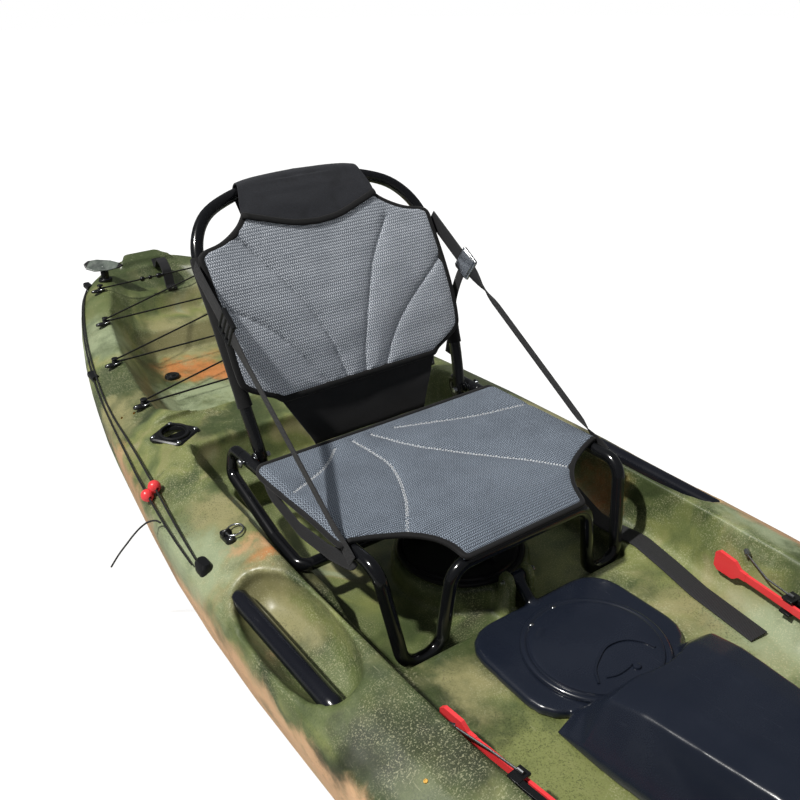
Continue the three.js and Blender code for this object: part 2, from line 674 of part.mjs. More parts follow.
const legZ = benchFloor + seatGap * 2 + tubeRadius;
const legHalf = [V(railX, railRearY + seatGap * 4, railRearZ), V(railX + tubeRadius * 0.1, railRearY + tubeRadius * 3.5,
  railRearZ), V(legX - tubeRadius * 0.4, railRearY + tubeRadius * 3, railRearZ - tubeRadius * 4.2),
V(legX, railRearY - tubeRadius * 11.5, legZ + tubeRadius), V(legX, railRearY - tubeRadius * 19.5, legZ)];
const legCorners = [...mirrored(legHalf), ...legHalf.slice().reverse()];
const legFeet = [1, -1].map((side) => rod(V(side * legX, railRearY - tubeRadius * 18,
  benchFloor + seatGap), V(side * legX, railRearY - tubeRadius * 18, legZ), tubeRadius * 0.8, 12));
add('seat_rear_leg', union([tube(bent(legCorners, tubeRadius * 1.8, 3), tubeRadius, 8), ...legFeet]), 'frame');

// Backrest arch, pinned to the rails.
const backShares = [[0, 0], [0.2, 0.12], [0.48, 0.32], [0.785, 0.66], [0.9, 0.83], [1, 1]];
const backRise = 410;
const backLean = 221;
const backY = (z) => hingeY + backLean * curve(backShares, (z - hingeZ) / backRise);
const archHalfShares = [[-0.05, 1], [0, 1], [0.18, 1.03], [0.48, 1.063], [0.75, 1.07], [0.85, 1.01],
  [0.925, 0.87], [0.972, 0.62], [0.993, 0.35]];
const archHalf = archHalfShares.map(([riseShare, widthShare]) => {
  const z = hingeZ + backRise * riseShare;
  return V(hingeX * widthShare, backY(z), z);
});
const archTop = V(0, backY(hingeZ + backRise), hingeZ + backRise);
const archPath = new THREE.CatmullRomCurve3([...mirrored(archHalf), archTop, ...archHalf.slice().reverse()],
  false, 'centripetal').getSpacedPoints(30).map((p) => V(p.x, backY(p.z), p.z));
add('seat_back_frame', without(tube(archPath, tubeRadius, 8), boltHoles), 'frame');

for (const [side, tag] of [[-1, 's'], [1, 'p']]) {
  const inner = side * (hingeX - tubeRadius - boltRadius);
  const outer = side * (railX + tubeRadius + boltRadius);
  add(`hinge_bolt_${tag}`, union([
    rod(V(inner, hingeY, hingeZ), V(outer, hingeY, hingeZ), boltRadius, 12),
    rod(V(outer - side * boltRadius * 0.7, hingeY, hingeZ), V(outer + side * boltRadius * 0.4, hingeY, hingeZ),
      boltRadius * 2, 12)]), 'steel');
}

// Padded mesh sheet: fan seams pull it down between soft ridges, and its edge is drawn in.
const padSag = 6;
const padThickness = 9;
const seamShare = 0.5;
const edgeShare = 0.62;
function quilted(rows, seams, spot) {
  return loft(rows.map(([place, widthShare]) => {
    const half = panHalfWidth * widthShare;
    const outer = Math.min(curve(seams[0], place) * panHalfWidth, half * 0.94);
    const inner = Math.min(curve(seams[1], place) * panHalfWidth, outer * 0.84);
    const right = [[inner / 2, 0.95], [inner, seamShare], [(inner + outer) / 2, 1], [outer, seamShare],
      [(outer + half) / 2, 0.92], [half, edgeShare]];
    const left = right.map(([x, lift]) => [-x, lift]).reverse();
    const top = [...left, [0, 0.95], ...right].map(([x, lift]) => spot(place, x, padThickness * lift));
    const under = [1, 0.55, 0, -0.55, -1].map((share) => spot(place, share * half, 0));
    return [...top, ...under];
  }));
}

// Mesh back over the arch, wide between its notched corners.
const padFrontGap = tubeRadius + seatGap * 5;
const flapThickness = 3.5;
function onBack(riseShare, x, front) {
  const z = hingeZ + backRise * riseShare;
  const slope = (backY(z + hullWall) - backY(z - hullWall)) / (2 * hullWall);
  return V(x, backY(z), z).addScaledVector(V(0, -1, slope).normalize(), front);
}
const padRows = [[0.207, 0.642], [0.225, 0.68], [0.25, 0.77], [0.295, 0.918], [0.37, 0.932], [0.45, 0.935],
  [0.54, 0.935], [0.62, 0.935], [0.7, 0.935], [0.785, 0.934], [0.806, 0.79], [0.84, 0.66], [0.885, 0.545],
  [0.93, 0.49], [0.985, 0.463]];
const padSeamShares = [[[0.2, 0.27], [0.31, 0.41], [0.434, 0.64], [0.53, 0.84], [0.6, 0.94], [1, 0.94]],
  [[0.2, 0.09], [0.31, 0.125], [0.434, 0.195], [0.58, 0.33], [0.727, 0.506], [0.8, 0.62], [1, 0.62]]];
const padDip = (riseShare) => padSag * Math.sin(Math.PI * (riseShare - 0.2) / 0.8);
add('seat_back_pad', quilted(padRows, padSeamShares, (place, x, lift) => onBack(place, x,
  padFrontGap + lift - padDip(place) * (1 - (x / panHalfWidth) ** 2))), 'mesh');
function backSheet(rows, front, thick) {
  return loft(rows.map(([riseShare, widthShare]) => {
    const half = panHalfWidth * widthShare;
    const across = [-1, -0.5, 0, 0.5, 1];
    return [...across.map((share) => onBack(riseShare, half * share, front + thick)),
      ...across.slice().reverse().map((share) => onBack(riseShare, half * share, front))];
  }));
}
const flapRows = [[0.06, 0.5], [0.1, 0.54], [0.14, 0.575], [0.206, 0.625]];
add('seat_back_flap', backSheet(flapRows, padFrontGap, flapThickness), 'webbing');

// Mesh seat pan over the rails, with its front corners notched round the legs.
const railZAt = (y) => railRearZ + (railFrontZ - railRearZ) * (railRearY - y) / (railRearY - railFrontY);
const panRows = [[0, 0.985], [0.03, 1], [0.12, 0.998], [0.23, 0.992], [0.36, 0.99], [0.5, 0.992], [0.62, 1],
  [0.7, 1], [0.735, 0.88], [0.775, 0.73], [0.83, 0.62], [0.89, 0.54], [0.95, 0.49], [1, 0.475]];
const panSeamShares = [[[0, 0.3], [0.1, 0.56], [0.2, 0.86], [0.24, 0.96], [1, 0.96]],
  [[0, 0.1], [0.15, 0.2], [0.3, 0.33], [0.5, 0.5], [0.7, 0.66], [0.8, 0.72], [1, 0.72]]];
const panDropShares = [[0, 0], [0.66, 0], [0.8, 0.2], [0.9, 0.5], [1, 1]];
add('seat_pan', quilted(panRows, panSeamShares, (place, x, lift) => {
  const y = panRearY + (panFrontY - panRearY) * place;
  const base = railZAt(y) + tubeRadius + seatGap * 5 - panDrop * curve(panDropShares, place);
  const sag = padSag * 1.5 * (1 - (x / panHalfWidth) ** 2) * Math.sin(Math.PI * Math.min(1, place * 1.15));
  return V(x, y, base + lift * 0.8 - sag);
}), 'mesh');

// Stay straps from the top corners of the back to the front of the rails, each through a buckle.
const strapSide = tubeRadius + strapThickness / 2 + seatGap;
const strapTop = V(hingeX * curve(archHalfShares.slice(0, 5), 0.77) + strapSide + seatGap, backY(hingeZ + backRise * 0.77) - tubeRadius, hingeZ + backRise * 0.77);
const strapFoot = V(railX + strapSide + seatGap * 4, railFrontY + tubeRadius * 4, railFrontZ - tubeRadius * 0.6);
for (const [side, tag] of [[-1, 's'], [1, 'p']]) {
  const top = V(side * strapTop.x, strapTop.y, strapTop.z);
  const foot = V(side * strapFoot.x, strapFoot.y, strapFoot.z);
  const along = foot.clone().sub(top);
  const strap = band([top, top.clone().addScaledVector(along, 0.5), foot],
    V(0, -along.z, along.y).normalize().multiplyScalar(-side), strapWidth, strapThickness);
  add(`stay_strap_${tag}`, strap, 'webbing');
  const at = top.clone().addScaledVector(along, side < 0 ? 0.2 : 0.22);
  const dir = along.clone().normalize();
  const reach = strapWidth * 0.55;
  const frame = band([at.clone().addScaledVector(dir, -reach), at.clone().addScaledVector(dir, reach)],
    V(0, -along.z, along.y).normalize(), strapWidth * 1.3, strapThickness * 4);
  const slot = band([at.clone().addScaledVector(dir, -reach * 2), at.clone().addScaledVector(dir, reach * 2)],
    V(0, -along.z, along.y).normalize(), strapWidth + seatGap * 2, strapThickness + seatGap * 2);
  add(`strap_buckle_${tag}`, frame.subtract(slot), side < 0 ? 'black' : 'steel');
}

// Tie strap slung under the starboard rail, from the rear bend to the front.
for (const [side, tag] of [[-1, 's']]) {
  const x = side * (railX - strapSide);
  const path = [V(x, railRearY - tubeRadius * 4, railZAt(railRearY - tubeRadius * 4)), V(x, railRearY - tubeRadius * 6,
    railRearZ - tubeRadius * 4), V(x, railRearY - tubeRadius * 15, railRearZ - tubeRadius * 6),
  V(x, railFrontY + tubeRadius * 14, railFrontZ - tubeRadius * 6), V(x, railFrontY + tubeRadius * 8,
    railFrontZ - tubeRadius * 4.4), V(x, railFrontY + tubeRadius * 7, railZAt(railFrontY + tubeRadius * 7))];
  add(`tie_strap_${tag}`, band(bent(path, tubeRadius * 3, 3), V(0, 0, 1), strapWidth * 0.8, strapThickness),
    'webbing');
}

// Loose strap end lying on the floor to port.
const strapYaw = 0.1;
const strapDropInset = 11;
const strapDropX = railX - strapDropInset;
const strapSwing = 36;
const strapFall = 48;
const strapDropY = 150;
const strapRun = 403;
const strapLie = footFloor + strapThickness * 2;
const strapBend = 60;
const strapPathShares = [[0, 0, 1], [0.28, 0.134, 0.29], [0.72, 0.2233, 0.04], [1, 0.3226, 0], [0.56, 0.5211, 0],
  [0.11, 0.6973, 0], [-0.28, 1, 0]];
const strapEdge = V(1, 0, 0).applyAxisAngle(V(0, 0, 1), strapYaw);
const floorStrap = band(bent(strapPathShares.map(([out, place, lift]) => V(strapDropX + strapSwing * out,
  strapDropY - strapRun * place, strapLie + strapFall * lift)), strapBend, 3), strapEdge, strapWidth * 0.9, strapThickness);
add('floor_strap', onDeck(floorStrap), 'webbing');

// Flush rod holders: diamond plate and a slanted tube let into the deck.
for (const [side, tag] of [[-1, 's'], [1, 'p']]) {
  const turn = side * 0.2;
  const corners = [[0, 1], [1, 0], [0, -1], [-1, 0]].map(([a, b]) => [
    side * rodX + rodPlateHalf * (a * Math.cos(turn) - b * Math.sin(turn)),
    rodY + rodPlateHalf * (a * Math.sin(turn) + b * Math.cos(turn))]);
  const outline = rounded(corners, tubeRadius, 3);
  const rim = rounded(corners.map(([x, y]) => [side * rodX + (x - side * rodX) * 0.93,
    rodY + (y - rodY) * 0.93]), tubeRadius, 3);
  const body = union([loft([atHeight(outline, saddleFloor + seatGap), atHeight(outline, saddleFloor
    + rodPlateThickness * 0.6), atHeight(rim, saddleFloor + rodPlateThickness)]),
  rod(rodReach(side, rodTubeLength), rodTop(side).addScaledVector(rodAxis(side), rodPlateThickness / 2), rodOuter, 16)]);
  const cut = rod(rodReach(side, rodTubeLength - rodTubeWall), rodTop(side).addScaledVector(rodAxis(side),
    rodBore * 3), rodBore, 16);
  const cap = block(V(side * rodX - overrun, rodY - overrun, saddleFloor + rodPlateThickness),
    V(side * rodX + overrun, rodY + overrun, saddleFloor + overrun));
  add(`rod_holder_${tag}`, without(body, [cut, cap]), 'black');
}

// Carry bar across each hand recess.
for (const [side, tag] of [[-1, 's'], [1, 'p']]) {
  const x = side * (bowlX + carryBarRadius);
  const z = bowlZ - carryBarRadius * 1.7;
  const bar = rod(V(x, bowlY - bowlHalfLength * 2, z), V(x, bowlY + bowlHalfLength * 2, z), carryBarRadius, 16);
  add(`carry_bar_${tag}`, bar.intersect(handBowl(side, -seatGap)), 'black');
}

// Bungee net over the tank well: a hook at each corner of the zigzag.
const hookYShares = [0.888, 0.776, 0.651, 0.515];
const hookXShares = [0.74, 0.775, 0.82, 0.795];
const cordHeight = hookBaseThickness + bungeeRadius * 1.9 + seatGap;
const hookRows = hookYShares.map((place, i) => {
  const y = place * halfLength;
  const x = halfBeamAt(y) * hookXShares[i];
  return { x, y, z: deckAt(x, y) };
});
hookRows.forEach((row, i) => {
  for (const [side, tag] of [[-1, 's'], [1, 'p']]) {
    const x = side * row.x;
    const slab = loft([-1, 1].map((end) => {
      const z = end < 0 ? row.z - hookBaseThickness * 1.6 : row.z + hookBaseThickness;
      return atHeight(rounded(rectangle(x + side * hookBaseLength * 0.2, row.y, hookBaseLength / 2,
        hookBaseWidth / 2), hookBaseWidth * 0.45, 2), z);
    }));
    const stem = rod(V(x, row.y, row.z), V(x, row.y, row.z + hookStemHeight + hookBaseThickness), hookStemRadius, 8);
    const cap = rod(V(x, row.y, row.z + hookStemHeight + hookBaseThickness / 2),
      V(x, row.y, row.z + hookStemHeight + hookBaseThickness), hookCapRadius, 12);
    add(`bungee_hook_${tag}${i + 1}`, onDeck(union([slab, stem, cap])), 'black');
  }
});
const wrap = hookStemRadius + bungeeRadius + seatGap;
const cordPoints = [];
hookRows.forEach((row, i) => {
  for (const side of [-1, 1]) {
    const first = i === 0 && side < 0;
    const final = i === hookRows.length - 1 && side > 0;
    const spots = [[0.2, 1], [0.75, 0.75], [1, 0], [0.75, -0.75], [0.2, -1]];
    const use = first ? spots.slice(2) : final ? spots.slice(0, 3) : spots;
    for (const [a, b] of use) {
      cordPoints.push(V(side * (row.x + wrap * a), row.y + wrap * b, row.z + cordHeight + seatGap));
    }
  }
});
add('bungee_cord', tube(cordPoints, bungeeRadius, 8), 'webbing');
const plugZ = footFloor + seatGap;
add('scupper_plug', turned([[0, -hullWall * 3], [scupperRadius - runningGap * 5, -hullWall * 3],
  [scupperRadius - runningGap * 4, 0], [scupperRadius * 1.35, 0], [scupperRadius * 1.25, hullWall],
  [scupperRadius * 0.5, hullWall * 1.4], [0, hullWall * 1.4]],
V(-scupperSternX, scupperSternY, plugZ), 14), 'black');

// Pad eye with a loose D-ring on the starboard side deck.
const eyeInset = 80;
const eyeX = eyeInset - halfBeam;
const eyeY = 338;
const eyeLength = 36;
const eyeWidth = 16;
const ringWire = 1.7;
const ringRadius = 14;
const eyeZ = deckAt(eyeX, eyeY);
const eyeBase = loft([atHeight(rounded(rectangle(eyeX, eyeY, eyeWidth / 2, eyeLength / 2), eyeWidth * 0.45, 3),
  eyeZ - eyeWidth / 2), atHeight(rounded(rectangle(eyeX, eyeY, eyeWidth / 2, eyeLength / 2), eyeWidth * 0.45, 3),
  eyeZ + hullWall)]);
const eyeReach = eyeWidth * 0.4;
const eyeLoop = tube(bent([V(eyeX - eyeReach, eyeY, eyeZ + hullWall / 2), V(eyeX - eyeReach, eyeY, eyeZ + eyeWidth),
  V(eyeX + eyeReach, eyeY, eyeZ + eyeWidth), V(eyeX + eyeReach, eyeY, eyeZ + hullWall / 2)], eyeReach, 3),
ringWire * 1.4, 8);
add('pad_eye', union([onDeck(eyeBase), eyeLoop]), 'black');
const ringTilt = 0.18;
const ringGeometry = new THREE.TorusGeometry(ringRadius, ringWire, 6, 16);
ringGeometry.rotateY(-ringTilt);
const ringZ = eyeZ + hullWall + ringWire + seatGap;
ringGeometry.translate(eyeX + ringRadius * Math.cos(ringTilt), eyeY, ringZ + ringRadius * Math.sin(ringTilt));
const ringMesh = new THREE.Mesh(ringGeometry, looks.steel);
ringMesh.name = 'd_ring';
kayak.add(ringMesh);

// Rudder lines along the starboard gunwale: from the front cap, past the pull beads, to the stern sleeve.
const lineCapY = lineCapShare * halfLength;
const lineRearY = lineRearShare * halfLength;
const sleeveFrontY = sleeveFrontShare * halfLength;
const lineSteps = 16;
const besideHull = (y, out, rise) => V(-(halfBeamAt(y) + out), y, gunwaleAt(y) - rise);
const aboveDeck = (y, share, lift) => {
  const x = -halfBeamAt(y) * share;
  return V(x, y, deckAt(x, y) + lift);
};
const capLow = aboveDeck(lineCapY, 0.945, 0);
const capShape = rounded(rectangle(capLow.x, capLow.y, eyeWidth * 0.7, eyeWidth * 1.1), eyeWidth * 0.6, 4);
const capTopShape = rounded(rectangle(capLow.x, capLow.y, eyeWidth * 0.45, eyeWidth * 0.85), eyeWidth * 0.4, 4);
add('line_cap', onDeck(loft([atHeight(capShape, capLow.z - eyeWidth), atHeight(capShape, capLow.z + hullWall),
  atHeight(capTopShape, capLow.z + hullWall * 2)])), 'black');
const lineStartY = lineCapY + eyeWidth * 1.1 + seatGap;
const lineNames = ['rudder_line_inner', 'rudder_line_outer'];
const beadNames = ['pull_bead_inner', 'pull_bead_outer'];
const beadY = beadShares.map((share) => share * halfLength);
const lineEdgeShare = 0.968;
const lineSpreadShares = [-0.021, 0.016];
const lineCloseShares = [-0.01, 0.008];
function linePath(i) {
  const points = [];
  for (let step = 0; step <= lineSteps; step += 1) {
    const t = step / lineSteps;
    const y = lineStartY + (lineRearY - lineStartY) * t;
    const open = Math.sin(Math.PI * Math.min(1, t * 2.2));
    const share = lineEdgeShare + lineCloseShares[i] + (lineSpreadShares[i] - lineCloseShares[i]) * open;
    const near = Math.max(0, 1 - Math.abs(y - beadY[i]) / (beadRadius * 30));
    points.push(aboveDeck(y, share, lineRadius * 3 + beadRadius * near));
  }
  return points;
}
lineNames.forEach((name, i) => {
  const points = linePath(i);
  const bead = points.reduce((best, p) => (Math.abs(p.y - beadY[i]) < Math.abs(best.y - beadY[i]) ? p : best));
  const index = points.indexOf(bead);
  const along = points[index + 1].clone().sub(points[index - 1]).normalize();
  add(name, tube(points, lineRadius, 8), 'webbing');
  const hole = tube([points[index - 1], bead, points[index + 1]], lineRadius + seatGap, 10);
  const ball = solidOf(new THREE.SphereGeometry(beadRadius, 10, 7).translate(bead.x, bead.y, bead.z));
  add(beadNames[i], ball.subtract(hole), 'red');
});
const sleeveBlock = (p, length) => loft([-1, 1].map((end) => rounded(rectangle(0, 0, eyeWidth * 0.9,
  eyeWidth * 0.75), eyeWidth * 0.5, 3).map((q) => V(p.x + q.x, p.y + end * length / 2, p.z + q.y))));
const lineRoom = lineNames.map((name, i) => tube(linePath(i), lineRadius + seatGap, 8));
const sleeves = [['line_sleeve_front', sleeveFrontY], ['line_sleeve_rear', lineRearY]];
for (const [name, y] of sleeves) {
  const at = aboveDeck(y, lineEdgeShare, lineRadius * 1.5);
  add(name, without(onDeck(sleeveBlock(at, eyeLength)), lineRoom), 'black');
}

// Loose end of the outer line, sticking out over the side.
const tailRadius = 1.6;
const tailRoot = linePath(1)[2].clone().lerp(linePath(1)[1], 0.2);
const tailTouch = lineRadius + tailRadius + seatGap;
const tailReach = 98;
const tailDrop = 120;
const tailOut = 71;
const tailShares = [[0.03, 0, 0], [0.08, 0.082, -0.013], [0.21, 0.204, 0.027], [0.34, 0.337, 0.133], [0.49, 0.48, 0.293],
  [0.65, 0.633, 0.493], [0.83, 0.816, 0.733], [1, 1, 1]];
const tailPoints = tailShares.map(([out, run, drop]) => V(tailRoot.x - tailOut * out - tailTouch * 0.54,
  tailRoot.y + tailReach * run, tailRoot.z - tailDrop * drop));
add('line_tail', tube(tailPoints, tailRadius, 8), 'webbing');

// Stern: carry handle, leaf blade on its post, rudder with its bracket.
const tankFloorAt = (y) => {
  const place = y / halfLength;
  let i = 0;
  while (place > tankShares[i + 1][0]) i += 1;
  const t = (place - tankShares[i][0]) / (tankShares[i + 1][0] - tankShares[i][0]);
  return hullDepth * (tankShares[i][3] * (1 - t) + tankShares[i + 1][3] * t);
};
const handleRise = 34;
const handleWidth = 24;
const handleThickness = 6;
function archedHandle(x, frontY, rearY, heightAt) {
  const span = rearY - frontY;
  const shares = [[0, 0], [0.16, 0], [0.3, 0.8], [0.5, 1], [0.7, 0.8], [0.84, 0], [1, 0]];
  const lift = handleThickness / 2 + seatGap;
  const path = shares.map(([place, riseShare]) => {
    const y = frontY + span * place;
    const chord = heightAt(frontY) + (heightAt(rearY) - heightAt(frontY)) * place;
    const base = riseShare > 0 ? chord : heightAt(y);
    return V(x, y, base + lift + handleRise * riseShare);
  });
  return onDeck(band(bent(path, handleRise * 0.8, 3), V(1, 0, 0), handleWidth, handleThickness));
}
const sternHandleX = 20;
const [sternHandleFront, sternHandleRear] = sternHandleShares.map((share) => share * halfLength);
const [bowHandleFront, bowHandleRear] = bowHandleShares.map((share) => share * halfLength);
add('stern_handle', archedHandle(sternHandleX, sternHandleFront, sternHandleRear, tankFloorAt), 'black');
add('bow_handle', archedHandle(0, bowHandleFront, bowHandleRear, (y) => crestAt(y) + deckCrown), 'black');

const postBeamShare = -0.307;
const postX = postBeamShare * halfBeam;
const postY = postShare * halfLength;
const postRadius = 10;
const postHeight = 26;
const leafLength = 104;
const leafWidth = 38;
const leafThickness = 4;
const leafStem = 5;
const postZ = deckAt(postX, postY);
const postAt = V(postX, postY, postZ);
add('stern_post', without(onDeck(union([
  rod(V(postX, postY, postZ - postRadius * 2), V(postX, postY, postZ + postHeight), postRadius, 14),
  rod(V(postX, postY, postZ - postRadius * 2), V(postX, postY, postZ + hullWall), postRadius * 1.7, 14)])),
[rod(V(postX, postY, postZ + postHeight / 2), V(postX, postY, postZ + postHeight * 2), leafStem + runningGap, 10)]),
'black');
const leafOutlineShares = [[-0.5, 0.1], [-0.42, -0.3], [-0.2, -0.5], [0.15, -0.42], [0.4, -0.2], [0.5, 0],
  [0.4, 0.2], [0.15, 0.42], [-0.2, 0.5], [-0.42, 0.38]];
const leafLean = 0.95;
const leafTurn = -35.2 * Math.PI / 180;
const leafZ = postZ + postHeight + leafWidth * 0.36;
const leafRing = (depth, shrink) => leafOutlineShares.map(([a, b]) => {
  const p = V(a * (leafLength - shrink), depth, b * (leafWidth - shrink));
  p.applyAxisAngle(V(1, 0, 0), -leafLean).applyAxisAngle(V(0, 0, 1), leafTurn);
  return p.add(V(postX, postY, leafZ));
});
const leafSlab = loft([leafRing(-leafThickness / 2, leafThickness / 2), leafRing(-leafThickness / 4, 0),
  leafRing(leafThickness / 4, 0), leafRing(leafThickness / 2, leafThickness / 2)]);
add('stern_leaf', leafSlab.add(rod(V(postX, postY, postZ + postHeight * 0.55), V(postX, postY, leafZ),
  leafStem, 10)), 'leaf');

// Rudder under the stern: bracket on the flat of the stern, steering head, lifting blade.
const bracketHalf = 24;
const bracketLow = 205;
const bracketHigh = 318;
const gudgeonReach = 16;
const lugReach = rudderPostY + gudgeonReach;
const gudgeon = 10;
const plateY = halfLength + seatGap + bracketThickness;
const gudgeonAt = (z) => loft([z, z + gudgeon].map((h) => atHeight(rounded([[-bracketHalf * 0.7,
  halfLength + seatGap + bracketThickness / 2], [bracketHalf * 0.7, halfLength + seatGap + bracketThickness / 2],
[bracketHalf * 0.6, lugReach], [-bracketHalf * 0.6, lugReach]], bracketHalf / 3, 2), h)));
const postBore = rod(V(0, rudderPostY, bracketLow - gudgeon * 2), V(0, rudderPostY, bracketHigh + gudgeon * 2),
  rudderPinRadius + runningGap, 12);
const bracketPlate = loft([halfLength + seatGap, plateY].map((y) => rounded(rectangle(0, (bracketLow + bracketHigh) / 2,
  bracketHalf, (bracketHigh - bracketLow) / 2), bracketHalf / 2, 2).map((p) => V(p.x, y, p.y))));
add('rudder_bracket', union([bracketPlate, gudgeonAt(bracketLow + gudgeon), gudgeonAt(bracketHigh - gudgeon * 2)])
  .subtract(postBore), 'black');
const headLow = bracketLow + gudgeon * 2 + runningGap;
const headHigh = bracketHigh - gudgeon * 2 - runningGap;
const headHalf = 15;
const headSlot = rudderBladeThickness / 2 + runningGap;
const pivotY = rudderPostY + rudderArm;
const headBody = loft([headLow, headHigh].map((z) => atHeight(rounded([[-headHalf, rudderPostY - headHalf * 0.9],
  [headHalf, rudderPostY - headHalf * 0.9], [headHalf, pivotY + headHalf], [-headHalf, pivotY + headHalf]],
headHalf * 0.5, 2), z)));
const headCut = block(V(-headSlot, rudderPostY + headHalf, headLow - gudgeon), V(headSlot, pivotY + headHalf * 3,
  headHigh + gudgeon));
const bladePin = (radius, reach) => rod(V(-reach, pivotY, rudderPivotZ), V(reach, pivotY, rudderPivotZ), radius, 12);
const headPins = rod(V(0, rudderPostY, bracketLow + gudgeon / 2), V(0, rudderPostY, bracketHigh - gudgeon / 2),
  rudderPinRadius, 12);
add('rudder_head', union([headBody.subtract(headCut), headPins, bladePin(rudderPinRadius, headHalf * 0.9)]), 'black');
const bladeShares = [[-0.13, 0.07], [0.13, 0.07], [0.27, -0.06], [0.46, -0.3], [0.5, -0.62], [0.42, -0.92],
  [0.2, -1], [-0.28, -1], [-0.42, -0.9], [-0.36, -0.5], [-0.16, -0.28]];
const bladeRing = (x, shrink) => rounded(bladeShares.map(([a, b]) => [
  pivotY + a * (rudderBladeWidth - shrink), rudderPivotZ + b * (rudderBladeLength - shrink)]), hullWall * 2, 1)
  .map((p) => V(x, p.x, p.y));
const bladeHalf = rudderBladeThickness / 2;
const bladeBody = loft([bladeRing(-bladeHalf, bladeHalf), bladeRing(-bladeHalf * 0.4, 0), bladeRing(bladeHalf * 0.4, 0),
  bladeRing(bladeHalf, bladeHalf)]);
add('rudder_blade', bladeBody.subtract(bladePin(rudderPinRadius + runningGap, headHalf * 2)), 'black');

// Foot braces: slotted rail on each side wall, sliding carriage, tilting pedal, red release lever.
function wallAt(y, z) {
  const place = y / halfLength;
  let i = 0;
  while (place > cockpitShares[i + 1][0]) i += 1;
  const t = (place - cockpitShares[i][0]) / (cockpitShares[i + 1][0] - cockpitShares[i][0]);
  const mix = (k) => cockpitShares[i][k] * (1 - t) + cockpitShares[i + 1][k] * t;
  const top = mix(1) * halfBeam;
  const floor = mix(2) * halfBeam;
  const low = mix(3) * hullDepth;
  const share = (z - low) / (crestAt(y) - low);
  const kneeX = floor + (top - floor) * 0.35;
  return share < 0.24 ? floor + (kneeX - floor) * (share - 0.07) / 0.17
    : kneeX + (top - kneeX) * (share - 0.24) / 0.76;
}
// Section drawn as [inboard, up] and pushed from one point to another.
function prism(section, from, to, side) {
  const along = to.clone().sub(from);
  const inboard = V(0, 0, 1).cross(along).normalize();
  if (inboard.x * side > 0) inboard.negate();
  const shape = new THREE.Shape(section.map(([a, b]) => new THREE.Vector2(a, b)));
  const geometry = new THREE.ExtrudeGeometry(shape, { depth: along.length(), bevelEnabled: false, steps: 1 });
  const basis = new THREE.Matrix4().makeBasis(inboard, V(0, 0, 1), along.clone().normalize());
  geometry.applyMatrix4(basis);
  geometry.translate(from.x, from.y, from.z);
  return solidOf(geometry);
}
const slotHalf = 5;
const slotDepth = 5;
const carriageHalf = 17;
const carriageDepth = 18;
const clipLength = 18;
const clipHalf = 14;
const leverMid = braceThickness + carriageDepth / 2;
const pedalGap = 3;
const leverTipReach = 128;
const cableHoleReach = 95;
const cableHoleRise = 26;
const pedalPin = 6;
const cableRadius = 1.5;
const ferruleRadius = 4.5;
